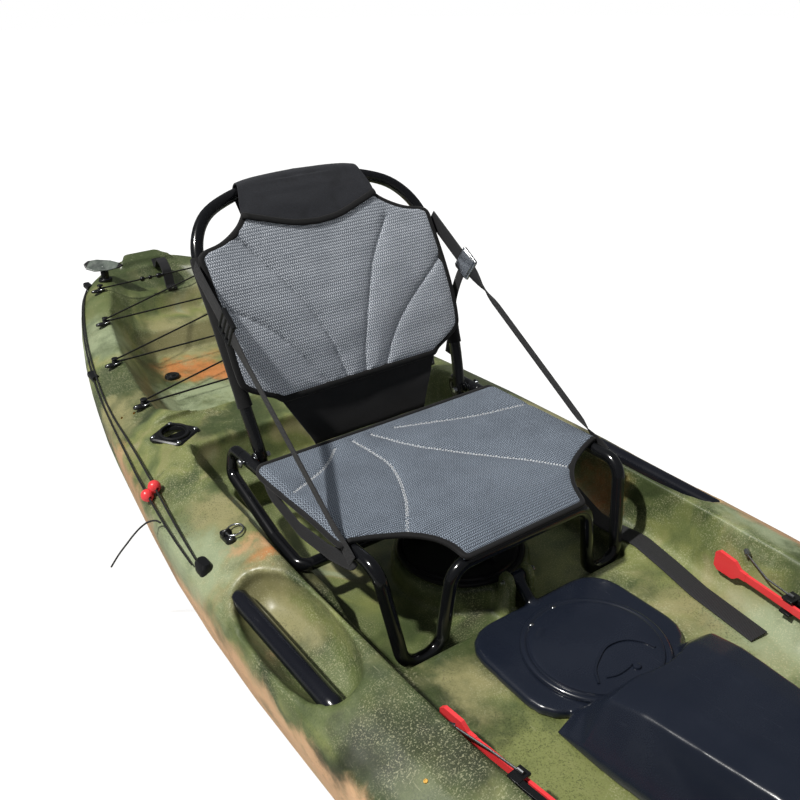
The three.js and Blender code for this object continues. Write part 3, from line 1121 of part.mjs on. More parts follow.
for (const [side, tag] of [[-1, 's'], [1, 'p']]) {
  const rearX = wallAt(braceY, braceZ) - seatGap * 4;
  const frontY = braceY - braceLength;
  const frontX = wallAt(frontY, braceZ) - seatGap * 4;
  const rear = V(side * rearX, braceY, braceZ);
  const front = V(side * frontX, frontY, braceZ);
  const dir = front.clone().sub(rear).normalize();
  const inboard = V(dir.y, -dir.x, 0).multiplyScalar(side);
  const spot = (run, inward, up) => rear.clone().addScaledVector(dir, run).addScaledVector(inboard, inward)
    .add(V(0, 0, up));
  const h = braceHeight / 2;
  const cut = slotHalf;
  const deep = braceThickness - slotDepth;
  const channel = prism([[0, -h], [braceThickness, -h], [braceThickness, -cut], [deep, -cut], [deep, cut],
    [braceThickness, cut], [braceThickness, h], [0, h]], rear, front, side);
  const lipIn = leverMid + leverThickness;
  const lipGap = leverHeight / 2 + runningGap * 10;
  const clip = prism([[0, -clipHalf], [lipIn, -clipHalf], [lipIn, -lipGap], [braceThickness, -lipGap],
    [braceThickness, lipGap], [lipIn, lipGap], [lipIn, clipHalf], [0, clipHalf]], rear, spot(clipLength, 0, 0), side);
  const feet = [braceLength * 0.06, braceLength * 0.94].map((run) => prism([[-hullWall * 3, -h * 0.8],
    [braceThickness / 2, -h * 0.8], [braceThickness / 2, h * 0.8], [-hullWall * 3, h * 0.8]],
  spot(run - hullWall, 0, 0), spot(run + hullWall * 2, 0, 0), side));
  const wallClear = moved(hullBlock, V(-side * seatGap * 1.5, 0, seatGap / 2));
  add(`foot_rail_${tag}`, union([channel, clip, ...feet]).subtract(wallClear), 'black');

  const run = carriageOffset;
  const keyIn = deep + runningGap;
  const faceIn = braceThickness + runningGap;
  const key = cut - runningGap;
  const outIn = faceIn + carriageDepth;
  const carriage = prism([[keyIn, -key], [faceIn, -key], [faceIn, -carriageHalf], [outIn, -carriageHalf],
    [outIn, carriageHalf], [faceIn, carriageHalf], [faceIn, key], [keyIn, key]],
  spot(run - carriageLength / 2, 0, 0), spot(run + carriageLength / 2, 0, 0), side);
  const pinEnd = outIn + pedalGap + pedalWidth + pedalGap;
  const stub = rod(spot(run, outIn - pedalPin, 0), spot(run, pinEnd, 0), pedalPin, 12);
  const rootLength = carriageLength * 0.35;
  const leverRoot = leverHeight * 0.36;
  const socket = rod(spot(run - carriageLength / 2 - hullWall, leverMid, 0), spot(run - carriageLength / 2
    + rootLength + runningGap, leverMid, 0), leverRoot + runningGap, 12);
  add(`foot_carriage_${tag}`, carriage.add(stub).subtract(socket), 'black');

  const pedalLow = -pedalHeight * 0.26;
  const pedalHigh = pedalHeight * 0.74;
  const pedalIn = outIn + pedalGap;
  const face = prism(rounded([[pedalIn, pedalLow], [pedalIn + pedalWidth, pedalLow],
    [pedalIn + pedalWidth * 0.9, pedalHigh], [pedalIn + pedalWidth * 0.1, pedalHigh]], pedalWidth * 0.18, 3)
    .map((p) => [p.x, p.y]), spot(run - pedalThickness / 2, 0, 0), spot(run + pedalThickness / 2, 0, 0), side);
  const hub = rod(spot(run, pedalIn, 0), spot(run, pedalIn + pedalWidth, 0), pedalThickness, 14);
  const hubBore = rod(spot(run, pedalIn - pedalGap, 0), spot(run, pedalIn + pedalWidth + pedalGap, 0),
    pedalPin + runningGap, 14);
  add(`foot_pedal_${tag}`, face.add(hub).subtract(hubBore), 'black');

  const tipRun = -(braceY + leverTipReach);
  const barEnd = run - carriageLength / 2 - runningGap * 2;
  const bar = prism([[leverMid - leverThickness / 2, -leverHeight / 2], [leverMid + leverThickness / 2,
    -leverHeight / 2], [leverMid + leverThickness / 2, leverHeight / 2], [leverMid - leverThickness / 2,
    leverHeight / 2]], spot(-tipRun + paddleLength * 0.8, 0, 0), spot(barEnd, 0, 0), side);
  const neck = rod(spot(barEnd - leverHeight, leverMid, 0), spot(barEnd + rootLength, leverMid, 0), leverRoot, 10);
  const paddleShares = [[0, -0.34], [0.12, -0.5], [0.62, -0.46], [0.8, -0.2], [1, -0.18], [1, 0.18], [0.8, 0.2],
    [0.62, 0.46], [0.12, 0.5], [0, 0.34]];
  const paddle = loft([-1, 1].map((end) => paddleShares.map(([a, b]) => spot(-tipRun + paddleLength * a,
    leverMid + end * leverThickness * 0.6, b * paddleHeight))));
  add(`foot_lever_${tag}`, union([bar, neck, paddle]), 'red');

  const holeY = braceY + cableHoleReach;
  const holeZ = braceZ + cableHoleRise;
  const hole = V(side * (wallAt(holeY, holeZ) - seatGap * 3), holeY, holeZ);
  const ferruleEnd = hole.clone().add(V(-side * ferruleRadius * 1.6, -ferruleRadius * 2, -ferruleRadius * 0.4));
  const eyeAt = spot(clipLength / 2, lipIn * 0.6, clipHalf + cableRadius + seatGap);
  const sagPoint = ferruleEnd.clone().lerp(eyeAt, 0.5).add(V(-side * ferruleRadius, 0, -ferruleRadius));
  const cable = tube([hole, ferruleEnd, sagPoint, eyeAt], cableRadius, 8);
  const ferrule = rod(hole.clone().lerp(ferruleEnd, 0.05), ferruleEnd, ferruleRadius, 8);
  const stop = rod(spot(clipLength / 4, lipIn * 0.6, clipHalf + cableRadius + seatGap * 2), spot(clipLength * 0.75,
    lipIn * 0.6, clipHalf + cableRadius + seatGap * 2), cableRadius * 1.6, 8);
  add(`rudder_cable_${tag}`, union([cable, ferrule, moved(stop, V(0, 0, cableRadius))]).subtract(wallClear), 'brass');
}
export default kayak;
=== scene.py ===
"""Sit-on-top fishing kayak: the finished looks, built round its packed model."""

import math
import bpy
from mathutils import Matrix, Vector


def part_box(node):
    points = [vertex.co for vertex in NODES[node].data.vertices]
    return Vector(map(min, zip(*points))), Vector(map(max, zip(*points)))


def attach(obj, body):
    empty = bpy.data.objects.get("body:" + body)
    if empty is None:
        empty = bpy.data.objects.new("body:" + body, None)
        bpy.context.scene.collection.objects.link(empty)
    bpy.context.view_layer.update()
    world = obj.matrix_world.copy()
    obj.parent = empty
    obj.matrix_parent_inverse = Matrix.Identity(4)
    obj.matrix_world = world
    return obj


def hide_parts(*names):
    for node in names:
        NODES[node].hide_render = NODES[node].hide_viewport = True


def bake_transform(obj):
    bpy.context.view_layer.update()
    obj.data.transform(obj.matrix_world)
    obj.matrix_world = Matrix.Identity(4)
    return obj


bl_info = {
    "name": "Fishing Kayak",
    "version": (1, 0, 0),
    "blender": (4, 5, 0),
    "location": "View3D > Sidebar > Kayak",
    "description": "Builds a sit-on-top fishing kayak with a framed mesh seat",
    "category": "Add Mesh",
}

import bmesh
import bpy
from bpy.props import FloatProperty, FloatVectorProperty, PointerProperty
from bpy.types import Operator, Panel, PropertyGroup
from mathutils import Matrix, Vector, noise
from mathutils.bvhtree import BVHTree

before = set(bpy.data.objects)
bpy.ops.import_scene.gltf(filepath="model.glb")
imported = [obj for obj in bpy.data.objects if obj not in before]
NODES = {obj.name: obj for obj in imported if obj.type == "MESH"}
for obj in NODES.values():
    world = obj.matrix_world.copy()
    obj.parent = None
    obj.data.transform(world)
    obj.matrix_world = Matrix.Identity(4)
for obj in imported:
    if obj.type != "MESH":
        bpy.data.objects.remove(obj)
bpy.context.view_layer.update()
MM = 0.001

# Places shared with the packed model, in millimetres.
RAIL_X = 247.0
RAIL_REAR = (475.0, 321.5)
RAIL_FRONT = (62.0, 331.0)
HINGE = (222.0, 457.0, 322.0)
BACK_RISE = 410.0
BACK_LEAN = 221.0
PAN_HALF = 257.0
PAN_REAR_Y = 402.0
PAN_FRONT_Y = 19.0
PAN_DROP = 26.0
CONSOLE_LID = (0.0, -135.0, 196.0)
SEAT_LID = (0.0, 178.0, 195.0)
ROD_X, ROD_Y = 288, 689
RING_AT = (-350, 338, 271.48)
BACK_LENGTH = 466.0
PAN_LENGTH = 383.0
BACK_DIP = 7.0
CLOTH_REACH = 12.5  # from the middle of a tube to the underside of the cloth on it
STAY_RISE = 0.77
STAY_TOP_Z = 637.7
STAY_FOOT = (260.5, 106, 324.4)
TUBE_RADIUS = 0.011

# The headrest patch: its half width and corner flare as shares, and its wrap round the tube.
PATCH_HALF = 0.475
PATCH_FLARE = 0.13
PATCH_WRAP = 15.5
PATCH_FRONT_REACH = 23.0
PATCH_BEHIND = 46.0

# The camera of the photograph, as fitted to the seat's edges, and the way of the sunlight.
SENSOR_WIDTH = 36.0
PHOTO_PIXELS = 800
FOCAL_PIXELS = 915.56
CAMERA_AT = (-0.8183, -0.8107, 1.1284)
CAMERA_ANGLES = (35.19, -26.92, -0.91)  # yaw, pitch and roll in degrees
SUN_WAY = (0.66, -0.13, -1.0)

SIDES = ((-1, "s"), (1, "p"))

# Slot and materials of the pieces that share them.
BLACK = ("black_fitting", "Satin black plastic")
STEEL = ("stainless", ["Stainless steel", "Satin black plastic"])
WEBBING = ("webbing", "Dark webbing")

BACK_SHARES = ((0, 0), (0.2, 0.12), (0.48, 0.32), (0.785, 0.66), (0.9, 0.83), (1, 1))
ARCH_SHARES = ((-0.05, 1), (0, 1), (0.18, 1.03), (0.48, 1.063), (0.75, 1.07), (0.85, 1.01), (0.925, 0.87),
               (0.972, 0.62), (0.993, 0.35))


def curve(table, u):
    """Shape-preserving cubic through rows of (place, value)."""
    last = len(table) - 1
    if u <= table[0][0]:
        return table[0][1]
    if u >= table[last][0]:
        return table[last][1]
    i = 0
    while u > table[i + 1][0]:
        i += 1

    def slope(k):
        return (table[k + 1][1] - table[k][1]) / (table[k + 1][0] - table[k][0])

    def tangent(k):
        if k == 0:
            return slope(0)
        if k == last:
            return slope(last - 1)
        a, b = slope(k - 1), slope(k)
        return 0 if a * b <= 0 else 2 * a * b / (a + b)

    h = table[i + 1][0] - table[i][0]
    t = (u - table[i][0]) / h
    return (table[i][1] * (1 + 2 * t) * (1 - t) ** 2 + table[i + 1][1] * t * t * (3 - 2 * t)
            + h * tangent(i) * t * (1 - t) ** 2 + h * tangent(i + 1) * t * t * (t - 1))


def smooth(low, high, value):
    t = min(1.0, max(0.0, (value - low) / (high - low)))
    return t * t * (3 - 2 * t)


def V(x, y, z):
    """Point given in millimetres."""
    return Vector((x, y, z)) * MM


def bent(corners, radius, steps=6):
    """Corners joined by arcs."""
    out = [corners[0].copy()]
    for before, corner, after in zip(corners, corners[1:], corners[2:]):
        u, v = before - corner, after - corner
        reach = min(u.length, v.length) * 0.48
        u.normalize()
        v.normalize()
        angle = u.angle(v)
        if angle > math.pi * 0.97:
            out.append(corner.copy())
            continue
        run = min(radius / math.tan(angle / 2), reach)
        r = run * math.tan(angle / 2)
        hub = corner + (u + v).normalized() * (r / math.sin(angle / 2))
        p, q = corner + u * run - hub, corner + v * run - hub
        sweep = p.angle(q)
        for k in range(steps + 1):
            t = k / steps
            out.append(hub + p * (math.sin((1 - t) * sweep) / math.sin(sweep))
                       + q * (math.sin(t * sweep) / math.sin(sweep)))
    out.append(corners[-1].copy())
    return out


def spline(points, count):
    """Centripetal curve through the points, evenly spaced."""
    fine = []
    ends = [points[0] * 2 - points[1], *points, points[-1] * 2 - points[-2]]
    for p0, p1, p2, p3 in zip(ends, ends[1:], ends[2:], ends[3:]):
        t1 = (p1 - p0).length ** 0.5
        t2 = t1 + (p2 - p1).length ** 0.5
        t3 = t2 + (p3 - p2).length ** 0.5
        for k in range(16):
            t = t1 + (t2 - t1) * k / 16
            a = p0 * ((t1 - t) / t1) + p1 * (t / t1)
            b = p1 * ((t2 - t) / (t2 - t1)) + p2 * ((t - t1) / (t2 - t1))
            c = p2 * ((t3 - t) / (t3 - t2)) + p3 * ((t - t2) / (t3 - t2))
            d = a * ((t2 - t) / t2) + b * (t / t2)
            e = b * ((t3 - t) / (t3 - t1)) + c * ((t - t1) / (t3 - t1))
            fine.append(d * ((t2 - t) / (t2 - t1)) + e * ((t - t1) / (t2 - t1)))
    fine.append(points[-1].copy())
    return spaced(fine, count)


def spaced(fine, count):
    """The same line with evenly spaced points."""
    runs = [0.0]
    for a, b in zip(fine, fine[1:]):
        runs.append(runs[-1] + (b - a).length)
    out, k = [], 0
    for i in range(count + 1):
        want = runs[-1] * i / count
        while k < len(runs) - 2 and runs[k + 1] < want:
            k += 1
        step = runs[k + 1] - runs[k]
        out.append(fine[k].lerp(fine[k + 1], (want - runs[k]) / step if step else 0))
    return out


def mirrored(points):
    return [Vector((-p.x, p.y, p.z)) for p in points]


def tangents(path, closed=False):
    n = len(path)
    out = []
    for i, p in enumerate(path):
        back = path[(i - 1) % n] if closed or i else p
        on = path[(i + 1) % n] if closed or i + 1 < n else p
        out.append((on - back).normalized())
    return out


def superellipse(width, thickness, sides=16, power=4.0):
    """Rounded-off rectangle as (across, up) pairs."""
    out = []
    for i in range(sides):
        a = 2 * math.pi * (i + 0.5) / sides
        c, s = math.cos(a), math.sin(a)
        k = (abs(c) ** power + abs(s) ** power) ** (-1 / power)
        out.append((c * k * width / 2, s * k * thickness / 2))
    return out


def circle(radius, sides=16):
    return [(radius * math.cos(2 * math.pi * i / sides), radius * math.sin(2 * math.pi * i / sides))
            for i in range(sides)]


class Work:
    """One piece under way: a bmesh with the cloth's own run and across as vertex layers."""

    def __init__(self, node=None):
        self.bm = bmesh.new()
        self.run = self.bm.verts.layers.float.new("run")
        self.across = self.bm.verts.layers.float.new("across")
        if node:
            self.bm.from_mesh(NODES[node].data)
            bmesh.ops.remove_doubles(self.bm, verts=self.bm.verts, dist=1e-5)
            self.run = self.bm.verts.layers.float.get("run") or self.bm.verts.layers.float.new("run")
            self.across = self.bm.verts.layers.float.get("across") or self.bm.verts.layers.float.new("across")

    def sweep(self, path, section, side=None, closed=False, cap=True, swell=None, slot=0):
        """Pushes a section along a path. side is the direction of the section's first axis, one or one a point."""
        bm, n = self.bm, len(path)
        along = tangents(path, closed)
        if side is None:
            side = along[0].orthogonal()
        sides = side if isinstance(side, list) else None
        u = Vector(sides[0] if sides else side)
        ring = edges = first = None
        total = 0.0
        round_section = abs(max(a for a, b in section) - max(b for a, b in section)) < 1e-4
        faces_before = set(bm.faces) if slot else None
        for i, (p, t) in enumerate(zip(path, along)):
            if sides:
                u = Vector(sides[i])
            u = (u - t * u.dot(t)).normalized()
            w = t.cross(u)
            k = swell(i / (n - 1)) if swell else 1.0
            total += (p - path[i - 1]).length if i else 0.0
            if ring is None:
                ring = [bm.verts.new() for _ in section]
                edges = [bm.edges.new((a, b)) for a, b in zip(ring, ring[1:] + ring[:1])]
            else:
                old = {v: j for j, v in enumerate(ring)}
                made = bmesh.ops.extrude_edge_only(bm, edges=edges)["geom"]
                fresh = {g for g in made if isinstance(g, bmesh.types.BMVert)}
                edges = [g for g in made if isinstance(g, bmesh.types.BMEdge)
                         and g.verts[0] in fresh and g.verts[1] in fresh]
                following = [None] * len(section)
                for v in fresh:
                    for e in v.link_edges:
                        other = e.other_vert(v)
                        if other in old:
                            following[old[other]] = v
                ring = following
            for v, (a, b) in zip(ring, section):
                v.co = p + u * (a * k) + w * (b * k)
                v[self.run] = total
                v[self.across] = math.atan2(b, a) * math.hypot(a, b) if round_section else a
            if first is None:
                first = (ring, edges)
        if closed:
            for a, b, c, d in zip(ring, ring[1:] + ring[:1], first[0][1:] + first[0][:1], first[0]):
                bm.faces.new((a, b, c, d))
        elif cap:
            for loop in (first[0], ring):
                bmesh.ops.contextual_create(bm, geom=list({e for v in loop for e in v.link_edges
                                                           if e.other_vert(v) in loop}))
        if slot:
            for f in set(bm.faces) - faces_before:
                f.material_index = slot
        return self

    def turn(self, profile, centre, axis=(0, 0, 1), steps=32, slot=0, angle=2 * math.pi):
        """Turns a profile of (radius, height) pairs about an axis."""
        bm = self.bm
        z = Vector(axis).normalized()
        place = Matrix.Translation(Vector(centre)) @ z.to_track_quat("Z", "Y").to_matrix().to_4x4()
        verts = [bm.verts.new(place @ Vector((r, 0, h))) for r, h in profile]
        edges = [bm.edges.new(pair) for pair in zip(verts, verts[1:])]
        before = set(bm.faces)
        made = bmesh.ops.spin(bm, geom=verts + edges, cent=Vector(centre), axis=z, angle=angle, steps=steps,
                              use_merge=angle > 6.28)
        fresh = {v for f in set(bm.faces) - before for v in f.verts}
        bmesh.ops.remove_doubles(bm, verts=list(fresh), dist=1e-6)
        for f in set(bm.faces) - before:
            f.material_index = slot
        return made

    def block(self, size, place, bevel=0.0, segments=2, slot=0):
        """Box of a size in metres at a matrix, with its edges rounded."""
        bm = self.bm
        before = set(bm.faces)
        made = bmesh.ops.create_cube(bm, size=1.0, matrix=place @ Matrix.Diagonal((*size, 1)))
        if bevel:
            edges = list({e for v in made["verts"] for e in v.link_edges})
            bmesh.ops.bevel(bm, geom=edges, offset=bevel, segments=segments, profile=0.5, affect="EDGES",
                            material=-1)
        for f in set(bm.faces) - before:
            f.material_index = slot
        return made

    def screw(self, centre, axis, radius, slot=1, recess=True):
        """Pan-head screw with a cross recess."""
        z = Vector(axis).normalized()
        r = radius
        self.turn([(0, r * 0.42), (r * 0.2, r * 0.42), (r * 0.62, r * 0.36), (r * 0.9, r * 0.2), (r, 0),
                   (r, -r * 0.2)], centre, z, steps=16, slot=slot)
        if recess:
            x = z.orthogonal().normalized()
            for side in (x, z.cross(x)):
                place = Matrix.Translation(Vector(centre) + z * r * 0.42) @ basis(side, z.cross(side), z)
                self.block((r * 1.1, r * 0.2, r * 0.05), place, slot=0)
        return self

    def finish(self, name, body, slot, materials, replaces=(), sharp=38.0, bevel=0.0, segments=2, subdivide=0,
               normals=True):
        bm = self.bm
        bmesh.ops.remove_doubles(bm, verts=bm.verts, dist=2e-6)
        if normals:
            bmesh.ops.recalc_face_normals(bm, faces=bm.faces)
        limit = math.radians(sharp)
        for f in bm.faces:
            f.smooth = True
        for e in bm.edges:
            e.smooth = len(e.link_faces) == 2 and e.calc_face_angle(0) < limit
        mesh = bpy.data.meshes.new(name)
        bm.to_mesh(mesh)
        bm.free()
        piece = bpy.data.objects.new(name, mesh)
        bpy.context.scene.collection.objects.link(piece)
        for m in materials if isinstance(materials, (list, tuple)) else [materials]:
            mesh.materials.append(MATERIALS[m])
        if bevel:
            mod = piece.modifiers.new("Rounded edges", "BEVEL")
            mod.width, mod.segments = bevel * MM, segments
            mod.limit_method, mod.angle_limit = "ANGLE", limit
            mod.harden_normals = False
        if subdivide:
            mod = piece.modifiers.new("Subdivision", "SUBSURF")
            mod.levels = mod.render_levels = subdivide
        if body:
            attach(piece, body)
        if replaces:
            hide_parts(*([replaces] if isinstance(replaces, str) else replaces))
        return piece


def basis(x, y, z):
    return Matrix((x, y, z)).transposed().to_4x4()


def refined(node, name, body, slot, materials, bevel=0.8, sharp=35.0, segments=2):
    """A CAD piece with its flat faces joined and its edges rounded."""
    work = Work(node)
    bmesh.ops.dissolve_limit(work.bm, angle_limit=math.radians(0.6), verts=work.bm.verts, edges=work.bm.edges)
    return work.finish(name, body, slot, materials, node, sharp=sharp, bevel=bevel, segments=segments,
                       normals=False)


def remeshed(work, voxel, rounds, triangles):
    """One soft skin over all the closed bodies of the work, without what they enclose."""
    mesh = bpy.data.meshes.new("rough")
    work.bm.to_mesh(mesh)
    work.bm.free()
    rough = bpy.data.objects.new("rough", mesh)
    bpy.context.scene.collection.objects.link(rough)
    mod = rough.modifiers.new("Remesh", "REMESH")
    mod.mode, mod.voxel_size = "VOXEL", voxel * MM
    graph = bpy.context.evaluated_depsgraph_get()
    skin = bpy.data.meshes.new_from_object(rough.evaluated_get(graph))
    bm = bmesh.new()
    bm.from_mesh(skin)
    seen, islands = set(), []
    for v in bm.verts:
        if v in seen:
            continue
        seen.add(v)
        stack, island = [v], []
        while stack:
            a = stack.pop()
            island.append(a)
            for e in a.link_edges:
                b = e.other_vert(a)
                if b not in seen:
                    seen.add(b)
                    stack.append(b)
        islands.append(island)
    islands.sort(key=len)
    for island in islands[:-1]:
        bmesh.ops.delete(bm, geom=island, context="VERTS")
    bm.to_mesh(skin)
    count = sum(len(f.verts) - 2 for f in bm.faces)
    bm.free()
    rough.modifiers.clear()
    rough.data = skin
    mod = rough.modifiers.new("Smooth", "SMOOTH")
    mod.factor, mod.iterations = 0.5, rounds
    if count > triangles:
        mod = rough.modifiers.new("Decimate", "DECIMATE")
        mod.ratio = triangles / count
    graph = bpy.context.evaluated_depsgraph_get()
    final = bpy.data.meshes.new_from_object(rough.evaluated_get(graph))
    bpy.data.objects.remove(rough)
    made = Work()
    made.bm.from_mesh(final)
    return made


def tube_ring(work, centre, axis, radius, wire, slot=0, sides=28):
    """Closed ring of round wire."""
    z = Vector(axis).normalized()
    x = z.orthogonal().normalized()
    y = z.cross(x)
    path = [Vector(centre) + x * (radius * math.cos(2 * math.pi * i / sides))
            + y * (radius * math.sin(2 * math.pi * i / sides)) for i in range(sides)]
    work.sweep(path, circle(wire, 10), side=z, closed=True, slot=slot)


# Materials.
def shade(code):
    """Linear colour from a hex code."""
    parts = [int(code[i:i + 2], 16) / 255 for i in (0, 2, 4)]
    return (*[c / 12.92 if c <= 0.04045 else ((c + 0.055) / 1.055) ** 2.4 for c in parts], 1.0)


class Nodes:
    """A node tree under way."""

    def __init__(self, tree):
        self.tree = tree
        self.count = 0

    def put(self, socket, value):
        if isinstance(value, bpy.types.NodeSocket):
            self.tree.links.new(value, socket)
        else:
            socket.default_value = value

    def node(self, kind, inputs=None, **settings):
        made = self.tree.nodes.new("ShaderNode" + kind)
        made.location = (-1500 + 180 * (self.count % 7), 300 - 240 * (self.count // 7))
        self.count += 1
        for key, value in settings.items():
            setattr(made, key, value)
        for key, value in (inputs or {}).items():
            self.put(made.inputs[key], value)
        return made

    def math(self, operation, a, b=0.0, c=0.0, clamp=False):
        return self.node("Math", {0: a, 1: b, 2: c}, operation=operation, use_clamp=clamp).outputs[0]

    def vector(self, operation, a, b=(0, 0, 0)):
        made = self.node("VectorMath", {0: a, 1: b}, operation=operation)
        return made.outputs["Value" if operation in ("LENGTH", "DISTANCE", "DOT_PRODUCT") else "Vector"]

    def mix(self, factor, a, b, blend="MIX"):
        made = self.node("Mix", data_type="RGBA", blend_type=blend)
        for key, value in ((0, factor), (6, a), (7, b)):
            self.put(made.inputs[key], value)
        return made.outputs[2]

    def step(self, value, low, high, a=0.0, b=1.0):
        return self.node("MapRange", {0: value, 1: low, 2: high, 3: a, 4: b},
                         interpolation_type="SMOOTHSTEP").outputs[0]

    def ramp(self, value, *stops):
        made = self.node("ValToRGB", {0: value})
        elements = made.color_ramp.elements
        for element, (place, colour) in ((elements[0], stops[0]), (elements[1], stops[-1])):
            element.position, element.color = place, colour
        for place, colour in stops[1:-1]:
            elements.new(place).color = colour
        return made.outputs["Color"]

    def noise(self, scale, where, detail=3.0, rough=0.5, distortion=0.0, output="Fac"):
        return self.node("TexNoise", {"Vector": where, "Scale": scale, "Detail": detail, "Roughness": rough,
                                      "Distortion": distortion}).outputs[output]

    def attribute(self, name):
        return self.node("Attribute", attribute_name=name).outputs["Fac"]

    def bump(self, height, distance, strength=1.0, normal=None):
        made = self.node("Bump", {"Height": height, "Distance": distance, "Strength": strength})
        if normal:
            self.put(made.inputs["Normal"], normal)
        return made.outputs["Normal"]

    def group(self, name, inputs):
        return self.node("Group", inputs, node_tree=bpy.data.node_groups[name]).outputs

    def coordinates(self):
        return self.node("TexCoord").outputs["Object"]


class Group(Nodes):
    """A shared node group under way."""

    def __init__(self, name, inputs, outputs):
        super().__init__(bpy.data.node_groups.new(name, "ShaderNodeTree"))
        for label, kind, default in inputs:
            socket = self.tree.interface.new_socket(label, in_out="INPUT", socket_type="NodeSocket" + kind)
            if default is not None:
                socket.default_value = default
        for label, kind in outputs:
            self.tree.interface.new_socket(label, in_out="OUTPUT", socket_type="NodeSocket" + kind)
        self.given = self.tree.nodes.new("NodeGroupInput").outputs
        self.result = self.tree.nodes.new("NodeGroupOutput").inputs


MATERIALS = {}


class Finish(Nodes):
    """A material under way: its nodes end in one Principled BSDF."""

    def __init__(self, name, **sockets):
        material = bpy.data.materials.new(name)
        material.use_nodes = True
        super().__init__(material.node_tree)
        self.shader = self.tree.nodes["Principled BSDF"]
        self.set(**sockets)
        MATERIALS[name] = material

    def set(self, **sockets):
        for key, value in sockets.items():
            self.put(self.shader.inputs[key.replace("_", " ")], value)


def make_groups():
    g = Group("Moulded grain", [("Vector", "Vector", None), ("Scale", "Float", 900.0)],
              [("Height", "Float"), ("Tone", "Float")])
    fine = g.noise(g.given["Scale"], g.given["Vector"], 2.0, 0.6)
    broad = g.noise(9.0, g.given["Vector"], 3.0)
    g.put(g.result["Height"], fine)
    g.put(g.result["Tone"], g.math("MULTIPLY_ADD", g.math("SUBTRACT", broad, 0.5), 0.7,
                                   g.math("MULTIPLY", fine, 0.3)))

    g = Group("Scuffs", [("Vector", "Vector", None), ("Amount", "Float", 0.5)], [("Mask", "Float")])
    stretched = g.vector("MULTIPLY", g.given["Vector"], (260.0, 34.0, 120.0))
    streak = g.step(g.noise(1.0, stretched, 3.0, 0.65), 0.6, 0.78)
    where = g.step(g.noise(5.0, g.given["Vector"], 3.0), 0.46, 0.62)
    g.put(g.result["Mask"], g.math("MULTIPLY", g.math("MULTIPLY", streak, where), g.given["Amount"], clamp=True))

    g = Group("Colour patch", [("Base", "Color", None), ("Colour", "Color", None), ("Vector", "Vector", None),
                               ("Centre", "Vector", None), ("Reach", "Vector", None), ("Softness", "Float", 0.25)],
              [("Color", "Color")])
    away = g.vector("LENGTH", g.vector("DIVIDE", g.vector("SUBTRACT", g.given["Vector"], g.given["Centre"]),
                                       g.given["Reach"]))
    near = g.step(away, g.math("ADD", 1.0, g.given["Softness"]), g.math("SUBTRACT", 1.0, g.given["Softness"]))
    g.put(g.result["Color"], g.mix(near, g.given["Base"], g.given["Colour"]))

    g = Group("Herringbone", [("Run", "Float", 0.0), ("Across", "Float", 0.0), ("Row", "Float", 0.005),
                              ("Dash", "Float", 0.0042)], [("Thread", "Float"), ("Height", "Float")])
    row = g.math("DIVIDE", g.given["Run"], g.given["Row"])
    odd = g.math("MULTIPLY_ADD", g.math("MODULO", g.math("FLOOR", row), 2.0), 2.0, -1.0)
    place = g.math("FRACT", row)
    slant = g.math("MULTIPLY", odd, g.math("SUBTRACT", place, 0.5))
    dash = g.math("FRACT", g.math("ADD", g.math("DIVIDE", g.given["Across"], g.given["Dash"]), slant))
    off = g.math("ABSOLUTE", g.math("SUBTRACT", dash, 0.5))
    thread = g.step(off, 0.34, 0.16)
    crown = g.math("SINE", g.math("MULTIPLY", place, math.pi))
    g.put(g.result["Thread"], g.math("MULTIPLY", thread, g.step(crown, 0.1, 0.65)))
    g.put(g.result["Height"], g.math("MULTIPLY", crown, g.math("MULTIPLY_ADD", thread, 0.6, 0.4)))

    g = Group("Webbing weave", [("Run", "Float", 0.0), ("Across", "Float", 0.0), ("Rib", "Float", 0.0024)],
              [("Thread", "Float"), ("Height", "Float")])
    lines = g.math("DIVIDE", g.math("ADD", g.given["Run"], g.math("MULTIPLY", g.given["Across"], 0.55)),
                   g.given["Rib"])
    rib = g.math("ABSOLUTE", g.math("SINE", g.math("MULTIPLY", lines, math.pi)))
    warp = g.math("ABSOLUTE", g.math("SINE", g.math("MULTIPLY", g.given["Across"], math.pi / 0.0016)))
    g.put(g.result["Thread"], g.math("MULTIPLY", rib, g.math("MULTIPLY_ADD", warp, 0.4, 0.6)))
    g.put(g.result["Height"], g.math("MULTIPLY", rib, g.math("MULTIPLY_ADD", warp, 0.3, 0.7)))


